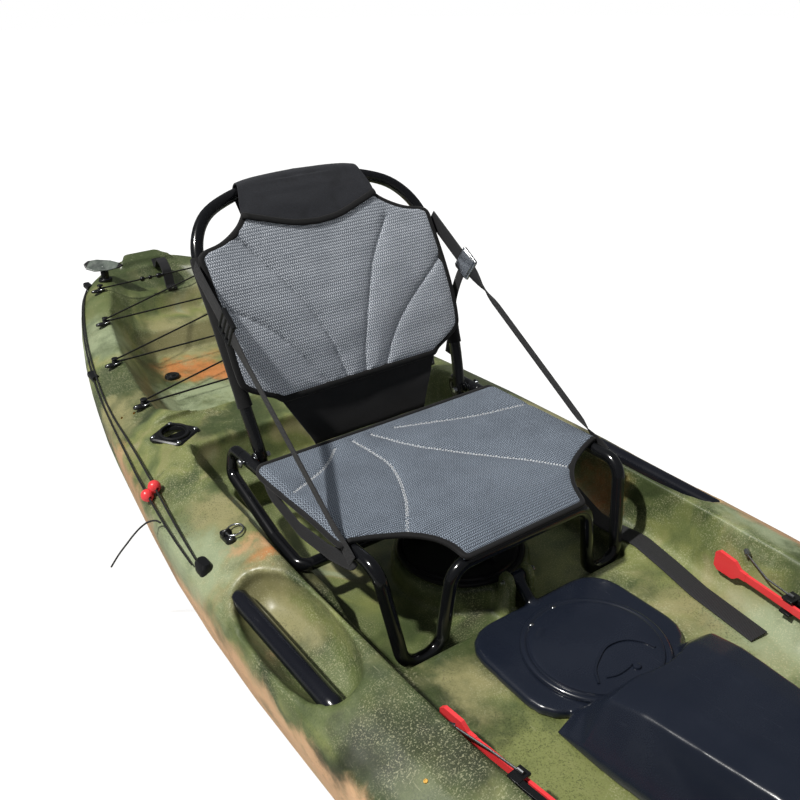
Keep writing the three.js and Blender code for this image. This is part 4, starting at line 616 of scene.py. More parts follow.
# Camouflage: where each colour lies, as centre, reach, colour and softness.
CAMO = (
    ((-0.44, 0.25, 0.1), (0.085, 1.0, 0.105), "skin", 0.3), ((0.44, 0.1, 0.1), (0.085, 0.9, 0.105), "skin", 0.3),
    ((-0.4, 0.72, 0.2), (0.05, 0.34, 0.055), "tan", 0.4), ((-0.43, -0.25, 0.16), (0.05, 0.5, 0.06), "skin", 0.3),
    ((-0.4, 0.38, 0.24), (0.06, 0.16, 0.05), "sage", 0.5), ((-0.36, 0.5, 0.27), (0.05, 0.11, 0.03), "olive", 0.5),
    ((-0.33, 0.42, 0.28), (0.05, 0.07, 0.02), "khaki", 0.5), ((-0.3, 0.55, 0.28), (0.09, 0.05, 0.03), "green", 0.4),
    ((-0.32, 0.97, 0.27), (0.045, 0.07, 0.04), "green", 0.5), ((-0.33, 0.88, 0.27), (0.06, 0.08, 0.04), "khaki", 0.4),
    ((-0.25, 1.2, 0.3), (0.07, 0.12, 0.06), "sage", 0.4), ((-0.19, 1.36, 0.32), (0.07, 0.09, 0.06), "olive", 0.4),
    ((0.0, 1.5, 0.34), (0.16, 0.1, 0.07), "green", 0.4), ((-0.05, 1.17, 0.18), (0.09, 0.075, 0.03), "rust", 0.45),
    ((0.05, 1.1, 0.18), (0.1, 0.05, 0.03), "rust", 0.5), ((-0.1, 0.99, 0.18), (0.14, 0.09, 0.03), "sage", 0.4),
    ((0.0, 1.3, 0.21), (0.16, 0.08, 0.06), "khaki", 0.4), ((-0.1, 0.9, 0.17), (0.12, 0.05, 0.03), "olive", 0.5),
    ((-0.17, 0.68, 0.26), (0.1, 0.05, 0.08), "green", 0.4), ((-0.2, 0.6, 0.21), (0.1, 0.08, 0.04), "olive", 0.4),
    ((0.3, 0.6, 0.26), (0.12, 0.22, 0.09), "olive", 0.5), ((0.34, 0.95, 0.26), (0.1, 0.18, 0.08), "green", 0.5),
    ((-0.33, 0.21, 0.22), (0.05, 0.1, 0.05), "khaki", 0.5), ((-0.3, 0.26, 0.24), (0.04, 0.03, 0.03), "rust", 0.7),
    ((-0.33, 0.3, 0.27), (0.06, 0.03, 0.02), "tan", 0.6), ((-0.34, 0.04, 0.21), (0.04, 0.08, 0.04), "olive", 0.5),
    ((-0.4, -0.12, 0.25), (0.05, 0.05, 0.04), "dark", 0.7), ((-0.3, -0.02, 0.26), (0.035, 0.1, 0.03), "green", 0.5),
    ((-0.3, 0.1, 0.26), (0.03, 0.07, 0.03), "moss", 0.5), ((-0.33, -0.24, 0.27), (0.06, 0.07, 0.03), "dark", 0.8),
    ((-0.38, -0.3, 0.25), (0.05, 0.09, 0.05), "olive", 0.6), ((-0.36, -0.5, 0.25), (0.08, 0.12, 0.06), "olive", 0.6),
    ((-0.14, 0.02, 0.17), (0.07, 0.1, 0.03), "green", 0.5), ((-0.2, -0.09, 0.18), (0.04, 0.06, 0.03), "khaki", 0.7),
    ((-0.2, -0.26, 0.18), (0.08, 0.1, 0.03), "moss", 0.5), ((0.1, 0.1, 0.15), (0.1, 0.06, 0.05), "moss", 0.5),
    ((0.22, -0.01, 0.18), (0.07, 0.08, 0.03), "moss", 0.7), ((0.21, -0.13, 0.18), (0.07, 0.07, 0.03), "khaki", 0.8),
    ((0.26, -0.27, 0.18), (0.07, 0.1, 0.05), "sage", 0.6), ((0.2, 0.06, 0.16), (0.05, 0.03, 0.03), "dark", 0.9),
    ((0.35, -0.13, 0.27), (0.06, 0.06, 0.03), "sage", 0.6), ((0.4, 0.05, 0.24), (0.06, 0.14, 0.06), "tan", 0.5),
    ((0.3, 0.16, 0.2), (0.05, 0.05, 0.05), "rust", 0.7), ((0.36, 0.3, 0.27), (0.07, 0.1, 0.05), "khaki", 0.5),
    ((0.27, -0.5, 0.22), (0.12, 0.14, 0.09), "green", 0.6), ((-0.1, -0.7, 0.2), (0.2, 0.1, 0.08), "khaki", 0.7),
    ((0.42, -0.12, 0.27), (0.045, 0.4, 0.04), "tan", 0.5), ((0.33, -0.3, 0.26), (0.05, 0.1, 0.04), "green", 0.5),
    ((0.0, -1.1, 0.3), (0.25, 0.14, 0.2), "olive", 0.6), ((0.1, -1.35, 0.35), (0.2, 0.12, 0.2), "dark", 0.7),
)


def make_hull_plastic(colours):
    f = Finish("Camouflage polyethylene", IOR=1.5, Coat_Weight=0.12, Coat_Roughness=0.3)
    at = f.coordinates()
    drift = f.vector("SUBTRACT", f.noise(4.5, at, 3.0, 0.5, 0.6, "Color"), (0.5, 0.5, 0.5))
    bent_at = f.vector("ADD", at, f.vector("MULTIPLY", drift, (0.16, 0.24, 0.16)))
    base = f.ramp(f.noise(3.4, bent_at, 3.0, 0.55, 1.0), (0.34, colours["dark"]), (0.42, colours["green"]),
                  (0.5, colours["olive"]), (0.55, colours["moss"]), (0.61, colours["khaki"]),
                  (0.68, colours["sage"]), (0.76, colours["tan"]))
    small = f.vector("SUBTRACT", f.noise(26.0, at, 5.0, 0.68, 0.4, "Color"), (0.5, 0.5, 0.5))
    ragged = f.vector("ADD", bent_at, f.vector("MULTIPLY", small, (0.08, 0.12, 0.06)))
    for centre, reach, colour, softness in CAMO:
        base = f.group("Colour patch", {"Base": base, "Colour": colours[colour], "Vector": ragged,
                                        "Centre": centre, "Reach": reach, "Softness": softness})["Color"]
    cloud = f.noise(14.0, at, 5.0, 0.6)
    base = f.mix(f.step(cloud, 0.5, 0.78, 0.0, 0.3), base, colours["khaki"])
    base = f.mix(f.step(cloud, 0.5, 0.28, 0.0, 0.5), base, colours["green"])
    grain = f.noise(420.0, at, 3.0, 0.7)
    zone = f.noise(8.0, bent_at, 3.0)
    base = f.mix(f.math("MULTIPLY", f.step(grain, 0.53, 0.62), f.step(zone, 0.48, 0.62, 0.0, 0.55)), base,
                 colours["dark"])
    base = f.mix(f.math("MULTIPLY", f.step(grain, 0.47, 0.38), f.step(zone, 0.55, 0.42, 0.05, 0.45)), base,
                 colours["pale"])
    scuff = f.group("Scuffs", {"Vector": at, "Amount": 0.35})["Mask"]
    base = f.mix(scuff, base, colours["pale"])
    f.set(Base_Color=base, Roughness=f.step(f.noise(30.0, at, 4.0), 0.3, 0.75, 0.36, 0.5),
          Normal=f.bump(f.group("Moulded grain", {"Vector": at, "Scale": 700.0})["Height"], 0.00025, 0.5,
                        f.bump(f.noise(11.0, at, 2.0), 0.004, 0.25)))


def make_plastic(name, colour, rough, grain=800.0, depth=0.0001, scuffs=0.3, coat=0.0, light=None):
    f = Finish(name, IOR=1.42, Coat_Weight=coat, Coat_Roughness=0.12)
    at = f.coordinates()
    surface = f.group("Moulded grain", {"Vector": at, "Scale": grain})
    scuff = f.group("Scuffs", {"Vector": at, "Amount": scuffs})["Mask"]
    pale = light or tuple(min(1.0, c * 1.7 + 0.01) for c in colour[:3]) + (1.0,)
    tone = f.mix(f.step(surface["Tone"], -0.2, 0.45, 0.0, 0.35), colour, pale)
    f.set(Base_Color=f.mix(scuff, tone, pale),
          Roughness=f.math("ADD", f.step(surface["Tone"], -0.2, 0.5, rough - 0.05, rough + 0.08),
                           f.math("MULTIPLY", scuff, 0.25)),
          Normal=f.bump(surface["Height"], depth, 0.5))


def make_leaf_plastic():
    """Smoky clear plastic with a black rim."""
    f = Finish("Smoky leaf plastic", IOR=1.42, Coat_Weight=0.2, Coat_Roughness=0.15)
    at = f.coordinates()
    tone = f.mix(f.step(f.noise(40.0, at, 4.0), 0.35, 0.7), shade("3d4440"), shade("5d655e"))
    f.set(Base_Color=f.group("Colour patch", {"Base": shade("0b0c0d"), "Colour": tone, "Vector": at,
                                              "Centre": (-0.1313, 1.4825, 0.3727), "Reach": (0.044, 0.034, 0.05),
                                              "Softness": 0.06})["Color"],
          Roughness=f.step(f.noise(90.0, at), 0.3, 0.7, 0.22, 0.34),
          Normal=f.bump(f.noise(300.0, at, 2.0), 0.0001, 0.4))


def make_metal(name, colour, rough, stretch=(30.0, 900.0, 900.0)):
    f = Finish(name, Metallic=1.0)
    at = f.coordinates()
    brushed = f.noise(1.0, f.vector("MULTIPLY", at, stretch), 3.0, 0.6)
    f.set(Base_Color=f.mix(f.step(f.noise(60.0, at, 3.0), 0.5, 0.75, 0.0, 0.4), colour,
                           tuple(c * 0.55 for c in colour[:3]) + (1.0,)),
          Roughness=f.step(brushed, 0.3, 0.7, rough - 0.06, rough + 0.1),
          Normal=f.bump(brushed, 0.00004, 0.4))


def make_mesh_cloth(name, light, dark, row, dash):
    f = Finish(name, Sheen_Weight=0.1, Sheen_Roughness=0.4, IOR=1.45)
    at = f.coordinates()
    weave = f.group("Herringbone", {"Run": f.attribute("run"), "Across": f.attribute("across"), "Row": row,
                                    "Dash": dash})
    streak = f.noise(1.0, f.vector("MULTIPLY", at, (900.0, 900.0, 900.0)), 2.0, 0.7)
    shown = f.math("MULTIPLY", weave["Thread"], f.step(streak, 0.34, 0.6, 0.35, 1.0))
    # Broad noise patches pull the cloth up to 0.22 towards its dark colour: painted sheen, shading that stands in for
    # how the cloth's sheen changes.
    tone = f.noise(16.0, at, 4.0)
    base = f.mix(shown, dark, light)
    base = f.mix(f.step(tone, 0.35, 0.7, 0.0, 0.22), base, dark)
    f.set(Base_Color=base, Roughness=f.step(weave["Thread"], 0.0, 1.0, 0.75, 0.5),
          Normal=f.bump(weave["Height"], 0.0008, 0.7, f.bump(tone, 0.003, 0.3)))


def make_webbing(name, light, dark, rib, rough=0.75):
    f = Finish(name, Sheen_Weight=0.05, Sheen_Roughness=0.5, IOR=1.4)
    at = f.coordinates()
    weave = f.group("Webbing weave", {"Run": f.attribute("run"), "Across": f.attribute("across"), "Rib": rib})
    fuzz = f.noise(700.0, at, 3.0, 0.7)
    base = f.mix(f.math("MULTIPLY", weave["Thread"], f.step(fuzz, 0.3, 0.65, 0.5, 1.0)), dark, light)
    f.set(Base_Color=base, Roughness=rough, Normal=f.bump(weave["Height"], 0.0005, 0.8,
                                                          f.bump(fuzz, 0.0003, 0.4)))


def make_fuzzy(name, light, dark, scale, rough=0.85, sheen=0.08, patches=0.5):
    f = Finish(name, Sheen_Weight=sheen, Sheen_Roughness=0.45, IOR=1.4)
    at = f.coordinates()
    nap = f.noise(scale, at, 4.0, 0.7)
    worn = f.noise(22.0, at, 5.0, 0.65, 0.8)
    base = f.mix(f.step(nap, 0.35, 0.68), dark, light)
    base = f.mix(f.step(worn, 0.5, 0.3, 0.0, patches), base, dark)
    f.set(Base_Color=base, Roughness=f.step(worn, 0.3, 0.7, rough - 0.1, rough),
          Normal=f.bump(nap, 0.0004, 0.6, f.bump(worn, 0.002, 0.25)))


# Shapes of the seat.
PAN_DROPS = ((0, 0), (0.66, 0), (0.8, 0.2), (0.9, 0.5), (1, 1))
PAN_HALVES = ((0, 0.99), (0.03, 1.03), (0.12, 1.035), (0.5, 1.03), (0.66, 1.035), (0.705, 1.03), (0.722, 0.93),
              (0.75, 0.82), (0.79, 0.7), (0.84, 0.605), (0.9, 0.53), (0.95, 0.495), (1, 0.478))
PAN_SEAMS = (((-0.46, 0.06), (-0.62, 0.16), (-0.97, 0.286)),
             ((-0.31, 0.05), (-0.27, 0.3), (-0.42, 0.56), (-0.66, 0.8)),
             ((-0.16, 0.05), (0.03, 0.26), (0.24, 0.44), (0.61, 0.81)),
             ((0.03, 0.06), (0.3, 0.12), (0.64, 0.2), (0.97, 0.27)))
BACK_HALVES = ((0.205, 0.66), (0.225, 0.69), (0.25, 0.775), (0.285, 0.88), (0.31, 0.918), (0.4, 0.932), (0.5, 0.935),
               (0.7, 0.935), (0.772, 0.938), (0.788, 0.9), (0.8, 0.79), (0.825, 0.68), (0.86, 0.58), (0.9, 0.515),
               (0.94, 0.48), (0.975, 0.466))
BACK_SEAMS = (((-0.27, 0.21), (-0.424, 0.358), (-0.6, 0.48), (-0.9, 0.6)),
              ((-0.115, 0.21), (-0.16, 0.361), (-0.25, 0.497), (-0.42, 0.66), (-0.62, 0.815)),
              ((0.03, 0.21), (0.09, 0.33), (0.17, 0.45), (0.34, 0.64), (0.57, 0.8)),
              ((0.2, 0.21), (0.33, 0.33), (0.5, 0.43), (0.9, 0.592)))
PATCH_BORDER = ((0, 0.822), (0.3, 0.828), (0.6, 0.845), (0.8, 0.862), (1, 0.888))


def rail_z(y):
    return RAIL_REAR[1] + (RAIL_FRONT[1] - RAIL_REAR[1]) * (RAIL_REAR[0] - y) / (RAIL_REAR[0] - RAIL_FRONT[0])


def back_y(rise):
    return HINGE[1] + BACK_LEAN * curve(BACK_SHARES, rise)


def on_back(rise, x, front):
    """Point in front of the arch's plane."""
    slope = (back_y(rise + 0.015) - back_y(rise - 0.015)) / (0.03 * BACK_RISE)
    return V(x, back_y(rise), HINGE[2] + BACK_RISE * rise) + Vector((0, -1, slope)).normalized() * front * MM


def arch_x(rise):
    return HINGE[0] * curve(ARCH_SHARES, rise)


def arch_rise(x):
    """Rise of the arch's top over a place across."""
    table = ((0, 1.0), (0.35, 0.993), (0.62, 0.972), (0.87, 0.925), (1.01, 0.85))
    return curve(table, abs(x) / HINGE[0])


def pan_spot(place, x, lift):
    """Point of the seat pan, which rolls over the rails at its sides."""
    y = PAN_REAR_Y + (PAN_FRONT_Y - PAN_REAR_Y) * place
    side = math.copysign(1.0, x)
    rail = rail_z(y)
    reach = CLOTH_REACH + lift
    if abs(x) > RAIL_X:
        turn = (abs(x) - RAIL_X) / 13.0
        return V(side * (RAIL_X + math.sin(turn) * reach), y, rail + math.cos(turn) * reach)
    sag = 11.0 * (1 - (x / RAIL_X) ** 2) * math.sin(math.pi * min(1.0, place * 1.15))
    return V(x, y, rail + reach - PAN_DROP * curve(PAN_DROPS, place) - sag)


def back_dip(rise, x):
    """How far the mesh back sags behind its frame."""
    return BACK_DIP * math.sin(math.pi * (rise - 0.2) / 0.8) * (1 - (x / PAN_HALF) ** 2)


def back_spot(rise, x, lift):
    return on_back(rise, x, CLOTH_REACH + lift - back_dip(rise, x))


def in_mm(pairs):
    """A profile of (radius, height) pairs given in millimetres."""
    return [(r * MM, h * MM) for r, h in pairs]


class Quilt:
    """A padded cloth sheet with fan seams, drawn flat as across and place and then laid on its frame."""

    def __init__(self, halves, spot, seams, length, puff, edge):
        self.halves, self.spot, self.length = halves, spot, length
        self.puff, self.edge = puff, edge
        self.low, self.high = halves[0][0], halves[-1][0]
        self.seams = []
        for seam in seams:
            flat = spline([Vector((x * PAN_HALF, place * length, 0)) for x, place in seam], 48)
            self.seams.append(flat)

    def half(self, place):
        return PAN_HALF * curve(self.halves, place)

    def seam_distance(self, x, s):
        best = 1e9
        for seam in self.seams:
            for a, b in zip(seam, seam[1:]):
                if abs(a.x - x) > 60 and abs(a.y - s) > 60:
                    continue
                d = b - a
                t = min(1.0, max(0.0, ((x - a.x) * d.x + (s - a.y) * d.y) / d.length_squared))
                best = min(best, math.hypot(a.x + d.x * t - x, a.y + d.y * t - s))
        return best

    def lift(self, place, x):
        """Thickness over the frame: full between seams, pulled down at them and at the edge."""
        s = place * self.length
        seam = self.seam_distance(x, s)
        rim = min(self.half(place) - abs(x), (place - self.low) * self.length, (self.high - place) * self.length)
        near = min(seam, max(rim, 0.0) * 1.4)
        full = self.puff * (1 - math.exp(-near / 15.0))
        groove = 1.5 * math.exp(-(seam / 2.6) ** 2)
        pucker = math.exp(-seam / 9.0) * noise.noise(Vector((x * 0.13, s * 0.13, 1.7))) * 1.3
        drape = noise.noise(Vector((x * 0.011, s * 0.03, 5.1))) * 1.5 * smooth(0, 40, rim)
        return self.edge + full - groove + pucker + drape

    def sheet(self, columns, lines):
        work = Work()
        bm = work.bm
        layers = []
        for under in (False, True):
            verts = bmesh.ops.create_grid(bm, x_segments=columns, y_segments=lines, size=0.5)["verts"]
            layers.append(verts)
            for v in verts:
                place = self.low + (self.high - self.low) * (v.co.y + 0.5)
                x = self.half(place) * v.co.x * 2
                v[work.run] = place * self.length * MM
                v[work.across] = x * MM
                v.co = self.spot(place, x, 0.0 if under else self.lift(place, x))
        faces = {f for v in layers[1] for f in v.link_faces}
        bmesh.ops.reverse_faces(bm, faces=list(faces))
        bmesh.ops.bridge_loops(bm, edges=[e for e in bm.edges if len(e.link_faces) == 1])
        return work

    def outline(self, inset, count=420):
        """Points round the sheet with the way outwards in its plane at each."""
        flat = []
        steps = 150
        for side in (1, -1):
            rows = [self.low + (self.high - self.low) * k / steps for k in range(steps + 1)]
            for place in rows if side > 0 else rows[::-1]:
                flat.append((side * (self.half(place) - inset), place))
            across = [1 - 2 * k / 30 for k in range(1, 30)]
            place = self.high if side > 0 else self.low
            flat += [(side * a * (self.half(place) - inset), place) for a in across]
        line = [Vector((x, place * self.length, 0)) for x, place in flat]
        line.append(line[0].copy())
        line = spaced(line, count)[:-1]
        for _ in range(2):
            line = [(a + b * 2 + c) / 4 for a, b, c in zip(line[-1:] + line[:-1], line, line[1:] + line[:1])]
        points = [self.spot(p.y / self.length, p.x, self.edge * 0.8) for p in line]
        normals = [(self.spot(p.y / self.length, p.x, self.edge + 1) - q).normalized() for p, q in zip(line, points)]
        ways = [t.cross(n) for t, n in zip(tangents(points, True), normals)]
        return points, ways

    def stitches(self, work, seam, length, gap, radius, offset=0.0, slot=0, wobble=0.0):
        """Rows of thread along one seam."""
        run = sum((b - a).length for a, b in zip(seam, seam[1:]))
        count = int(run / (length + gap))
        line = spaced(seam, count * 2)
        for k in range(count):
            a, b = line[k * 2], line[k * 2 + 1]
            d = (b - a).normalized()
            across = Vector((-d.y, d.x, 0)) * (offset + wobble * (1 if k % 2 else -1))
            path = []
            for t, rise in ((0.0, -0.6), (0.25, 0.5), (0.75, 0.5), (1.0, -0.6)):
                p = a.lerp(b, t) + across
                path.append(self.spot(p.y / self.length, p.x,
                                      self.lift(p.y / self.length, p.x) + rise * radius))
            work.sweep(path, circle(radius * MM, 5), slot=slot)


def make_skin(name, node, body, slot, material, voxel, rounds, triangles, extra=None):
    work = Work(node)
    if extra:
        extra(work)
    work = remeshed(work, voxel, rounds, triangles)
    return work.finish(name, body, slot, material, node, sharp=60)


def bucket(work, mouth, axis, bore, wall, depth):
    """Open tub under a hole, which closes the hollow so that only the outside is skinned."""
    bm = work.bm
    z = Vector(axis).normalized()
    place = Matrix.Translation(Vector(mouth)) @ z.to_track_quat("Z", "Y").to_matrix().to_4x4()
    verts = bmesh.ops.create_circle(bm, cap_ends=True, segments=32, radius=bore + wall,
                                    matrix=place @ Matrix.Translation((0, 0, -depth)))["verts"]
    base = next(f for f in verts[0].link_faces)
    tall = bmesh.ops.extrude_face_region(bm, geom=[base])["geom"]
    top = next(g for g in tall if isinstance(g, bmesh.types.BMFace))
    bmesh.ops.translate(bm, verts=top.verts[:], vec=z * depth)
    bmesh.ops.inset_region(bm, faces=[top], thickness=wall, use_even_offset=True)
    deep = bmesh.ops.extrude_face_region(bm, geom=[top])["geom"]
    floor = next(g for g in deep if isinstance(g, bmesh.types.BMFace))
    bmesh.ops.translate(bm, verts=floor.verts[:], vec=z * (wall - depth))
    bmesh.ops.delete(bm, geom=[top], context="FACES_ONLY")


def hull_liners(work):
    bucket(work, V(0, -135, 178), (0, 0, 1), 0.097, 0.012, 0.07)
    bucket(work, V(0, 178, 193), (0, 0, 1), 0.097, 0.012, 0.07)
    for side in (1, -1):
        axis = Vector((side * 0.12, 0.5, 0.866)).normalized()
        bucket(work, V(side * ROD_X, ROD_Y, 282) - axis * 0.003, axis, 0.026, 0.014, 0.15)
    bmesh.ops.recalc_face_normals(work.bm, faces=work.bm.faces)


SURFACE = {}


def on_hull(x, y, top=0.6):
    """Point and normal of the hull below a place, in metres."""
    hit, normal, _, _ = SURFACE["hull"].ray_cast(Vector((x, y, top)), Vector((0, 0, -1)))
    return hit, normal


def middle(node):
    low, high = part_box(node)
    return (Vector(low) + Vector(high)) / 2


def mark_screws(work, spots, radius, slot=0):
    for point, axis in spots:
        work.screw(point, axis, radius, slot=slot)


# Builders of the pieces.
def make_hull(sizes):
    skin = make_skin("hull_skin", "hull_shell", "hull", "hull_plastic", "Camouflage polyethylene",
                     sizes.hull_voxel * 1000, 6, 190000, hull_liners)
    for v in skin.data.vertices:  # the deck is flat under the rod holders' plates
        if abs(abs(v.co.x) - ROD_X * MM) + abs(v.co.y - ROD_Y * MM) < 0.06:
            v.co.z = min(v.co.z, 0.2855)
    SURFACE["hull"] = BVHTree.FromObject(skin, bpy.context.evaluated_depsgraph_get())
    work = Work()
    for x, y, radius in ((-0.316, 0.826, 0.0032), (-0.336, 0.846, 0.0026), (-0.374, -0.22, 0.003),
                         (0.316, 0.826, 0.0032), (0.374, -0.22, 0.003)):
        point, normal = on_hull(x, y)
        work.turn([(0, 0.0004), (radius * 0.45, 0.0004), (radius * 0.5, 0.0012), (radius * 0.9, 0.0012),
                   (radius, 0.0006), (radius, -0.004)], point, normal, steps=18)
    work.finish("threaded_inserts", "hull", "steel_cable", "Brass")
    work = Work()
    for x in (-27, 27):
        mark_screws(work, [(V(x, 37, 222), (math.copysign(1, x), 0, 0))], 0.0042)
    work.finish("lug_screws", "hull", *STEEL)
    work = Work()
    work.sweep([V(-33, 37, 222), V(-30, 37, 222), V(30, 37, 222), V(33, 37, 222)], circle(0.003, 14))
    work.turn([(0, 0.0035), (0.0035, 0.003), (0.0052, 0.0012), (0.0052, -0.001)], V(33, 37, 222), (1, 0, 0), 16)
    work.finish("hinge_pin", "hull", "stainless", "Stainless steel", "console_pin")


def lid_piece(name, node, body, centre, slot, material):
    """Round hatch lid with a rolled rim, a groove and its pull."""
    work = Work()
    c = V(*centre)
    rim = [(0, -11), (86, -11), (93, -8), (94, -5), (94, 0.4), (109.4, 0.4), (110, 1.6), (109.6, 4.4), (107.6, 6.4),
          (104.6, 7.2), (102.4, 6.6), (101, 5.2), (99.6, 4.9), (98.4, 6), (97.4, 8.3), (95, 9.2), (90, 9), (60, 8.5),
          (0, 8.2)]
    work.turn(in_mm(rim), c, steps=96)
    top = 8.6
    for a in (150, 98):
        turn = math.radians(a - 26)
        for k in range(4):
            spread = turn + math.radians((k - 1.5) * 3.4)
            p = c + V(82 * math.cos(spread), 82 * math.sin(spread), top)
            out = Vector((math.cos(turn), math.sin(turn), 0))
            place = Matrix.Translation(p) @ basis(out, Vector((0, 0, 1)).cross(out), Vector((0, 0, 1)))
            work.block((0.011, 0.0016, 0.0018), place, bevel=0.0005)
    arc = [(-0.5, -0.52), (-0.36, -0.33), (-0.21, -0.23), (0.09, -0.11), (0.38, -0.17), (0.54, -0.35), (0.58, -0.5)]
    path = spline([c + V(a * 110, b * 110, top + 0.9) for a, b in arc], 40)
    work.sweep(path, superellipse(0.0042, 0.0036, 10, 3), side=[(p - c - V(2, -58, 0)).normalized() for p in path])
    tail = spline([c + V(a * 110, b * 110, top + 0.6) for a, b in ((-0.34, -0.5), (-0.2, -0.55), (0.0, -0.55),
                                                                  (0.1, -0.53))], 16)
    work.sweep(tail, circle(0.0017, 10))
    work.turn(in_mm(((0, 4.2), (3.2, 4.0), (5.4, 3.2), (6.2, 1.6), (6.2, -0.5))),
              c + V(13, -66, top), steps=24)
    piece = work.finish(name, body, slot, material, node, sharp=40)
    work = Work()
    spots = [(c + V(-45, 88, 8.4), (0, 0, 1)), (c + V(9, 97, 8.2), (0, 0, 1))]
    mark_screws(work, spots, 0.0036)
    work.finish(name + "_screws", body, *STEEL)
    return piece


def make_console(sizes):
    make_skin("console_body", "console_pod", "console", "console_plastic", "Console plastic", 2.6, 16, 190000)
    lid_piece("console_hatch", "console_lid", "console_cover", CONSOLE_LID, "console_plastic", "Console plastic")
    lid_piece("seat_hatch", "seat_hatch_lid", "seat_hatch_cover", SEAT_LID, *BLACK)


def make_frames(sizes):
    base = [V(RAIL_X, 475, 321.5), V(RAIL_X, 62, 331), V(224, 31, 161.3), V(157, 31, 161.3), V(137, 28, 306)]
    corners = mirrored(base) + base[::-1]
    work = Work()
    work.sweep(bent(corners, 0.033, 10), circle(TUBE_RADIUS, 24))
    work.finish("base_tube", "hull", "frame_tube", "Powder-coated tube", "seat_base_frame")
    rear = [V(247, 476.2, 321.5), V(248.1, 513.5, 321.5), V(257.6, 508, 275.3), V(262, 348.5, 231.6),
            V(262, 260.5, 220.6)]
    work = Work()
    work.sweep(bent(mirrored(rear) + rear[::-1], 0.0198, 10), circle(TUBE_RADIUS, 24))
    for side in (1, -1):
        work.turn(in_mm(((0, 0), (8.2, 0), (8.8, 0.8), (8.8, 12), (0, 12))),
                  V(side * 262, 277, 209.3), steps=20)
    work.finish("rear_tube", "hull", "frame_tube", "Powder-coated tube", "seat_rear_leg")
    half = [V(arch_x(r), back_y(r), HINGE[2] + BACK_RISE * r) for r, _ in ARCH_SHARES]
    top = V(0, back_y(1.0), HINGE[2] + BACK_RISE)
    path = spline(mirrored(half) + [top] + half[::-1], 120)
    for p in path:
        p.y = back_y((p.z / MM - HINGE[2]) / BACK_RISE) * MM
    work = Work()
    work.sweep(path, circle(TUBE_RADIUS, 24))
    work.finish("back_tube", "backrest", "frame_tube", "Powder-coated tube", "seat_back_frame")
    for side, tag in SIDES:
        work = Work()
        out = Vector((side, 0, 0))
        hub = V(side * 264, HINGE[1], HINGE[2])
        work.sweep([V(side * 207, HINGE[1], HINGE[2]), V(side * 262, HINGE[1], HINGE[2])], circle(0.004, 16))
        work.turn(in_mm(((0, 3.2), (4.2, 3.0), (6.8, 1.8), (8, -0.4), (8, -1.8), (0, -1.8))),
                  hub, out, 24)
        work.turn(in_mm(((0, 3.6), (4.6, 3.6), (5.6, 3), (5.6, -3), (4.6, -3.6), (0, -3.6))),
                  V(side * 209, HINGE[1], HINGE[2]), out, 6)
        work.turn(in_mm(((0, 0.9), (9.5, 0.9), (10, 0.4), (10, -0.9), (0, -0.9))),
                  V(side * 234.8, HINGE[1], HINGE[2]), out, 28)
        work.finish("hinge_bolt_head_" + tag, "hull", "stainless", "Stainless steel", "hinge_bolt_" + tag)


def binding(quilt, name, body, inset, width, thickness, replaces=()):
    points, ways = quilt.outline(inset)
    work = Work()
    work.sweep(points, superellipse(width * MM, thickness * MM, 14, 3.0), side=ways, closed=True)
    return work.finish(name, body, "mesh_fabric", "Black binding", replaces, sharp=80)


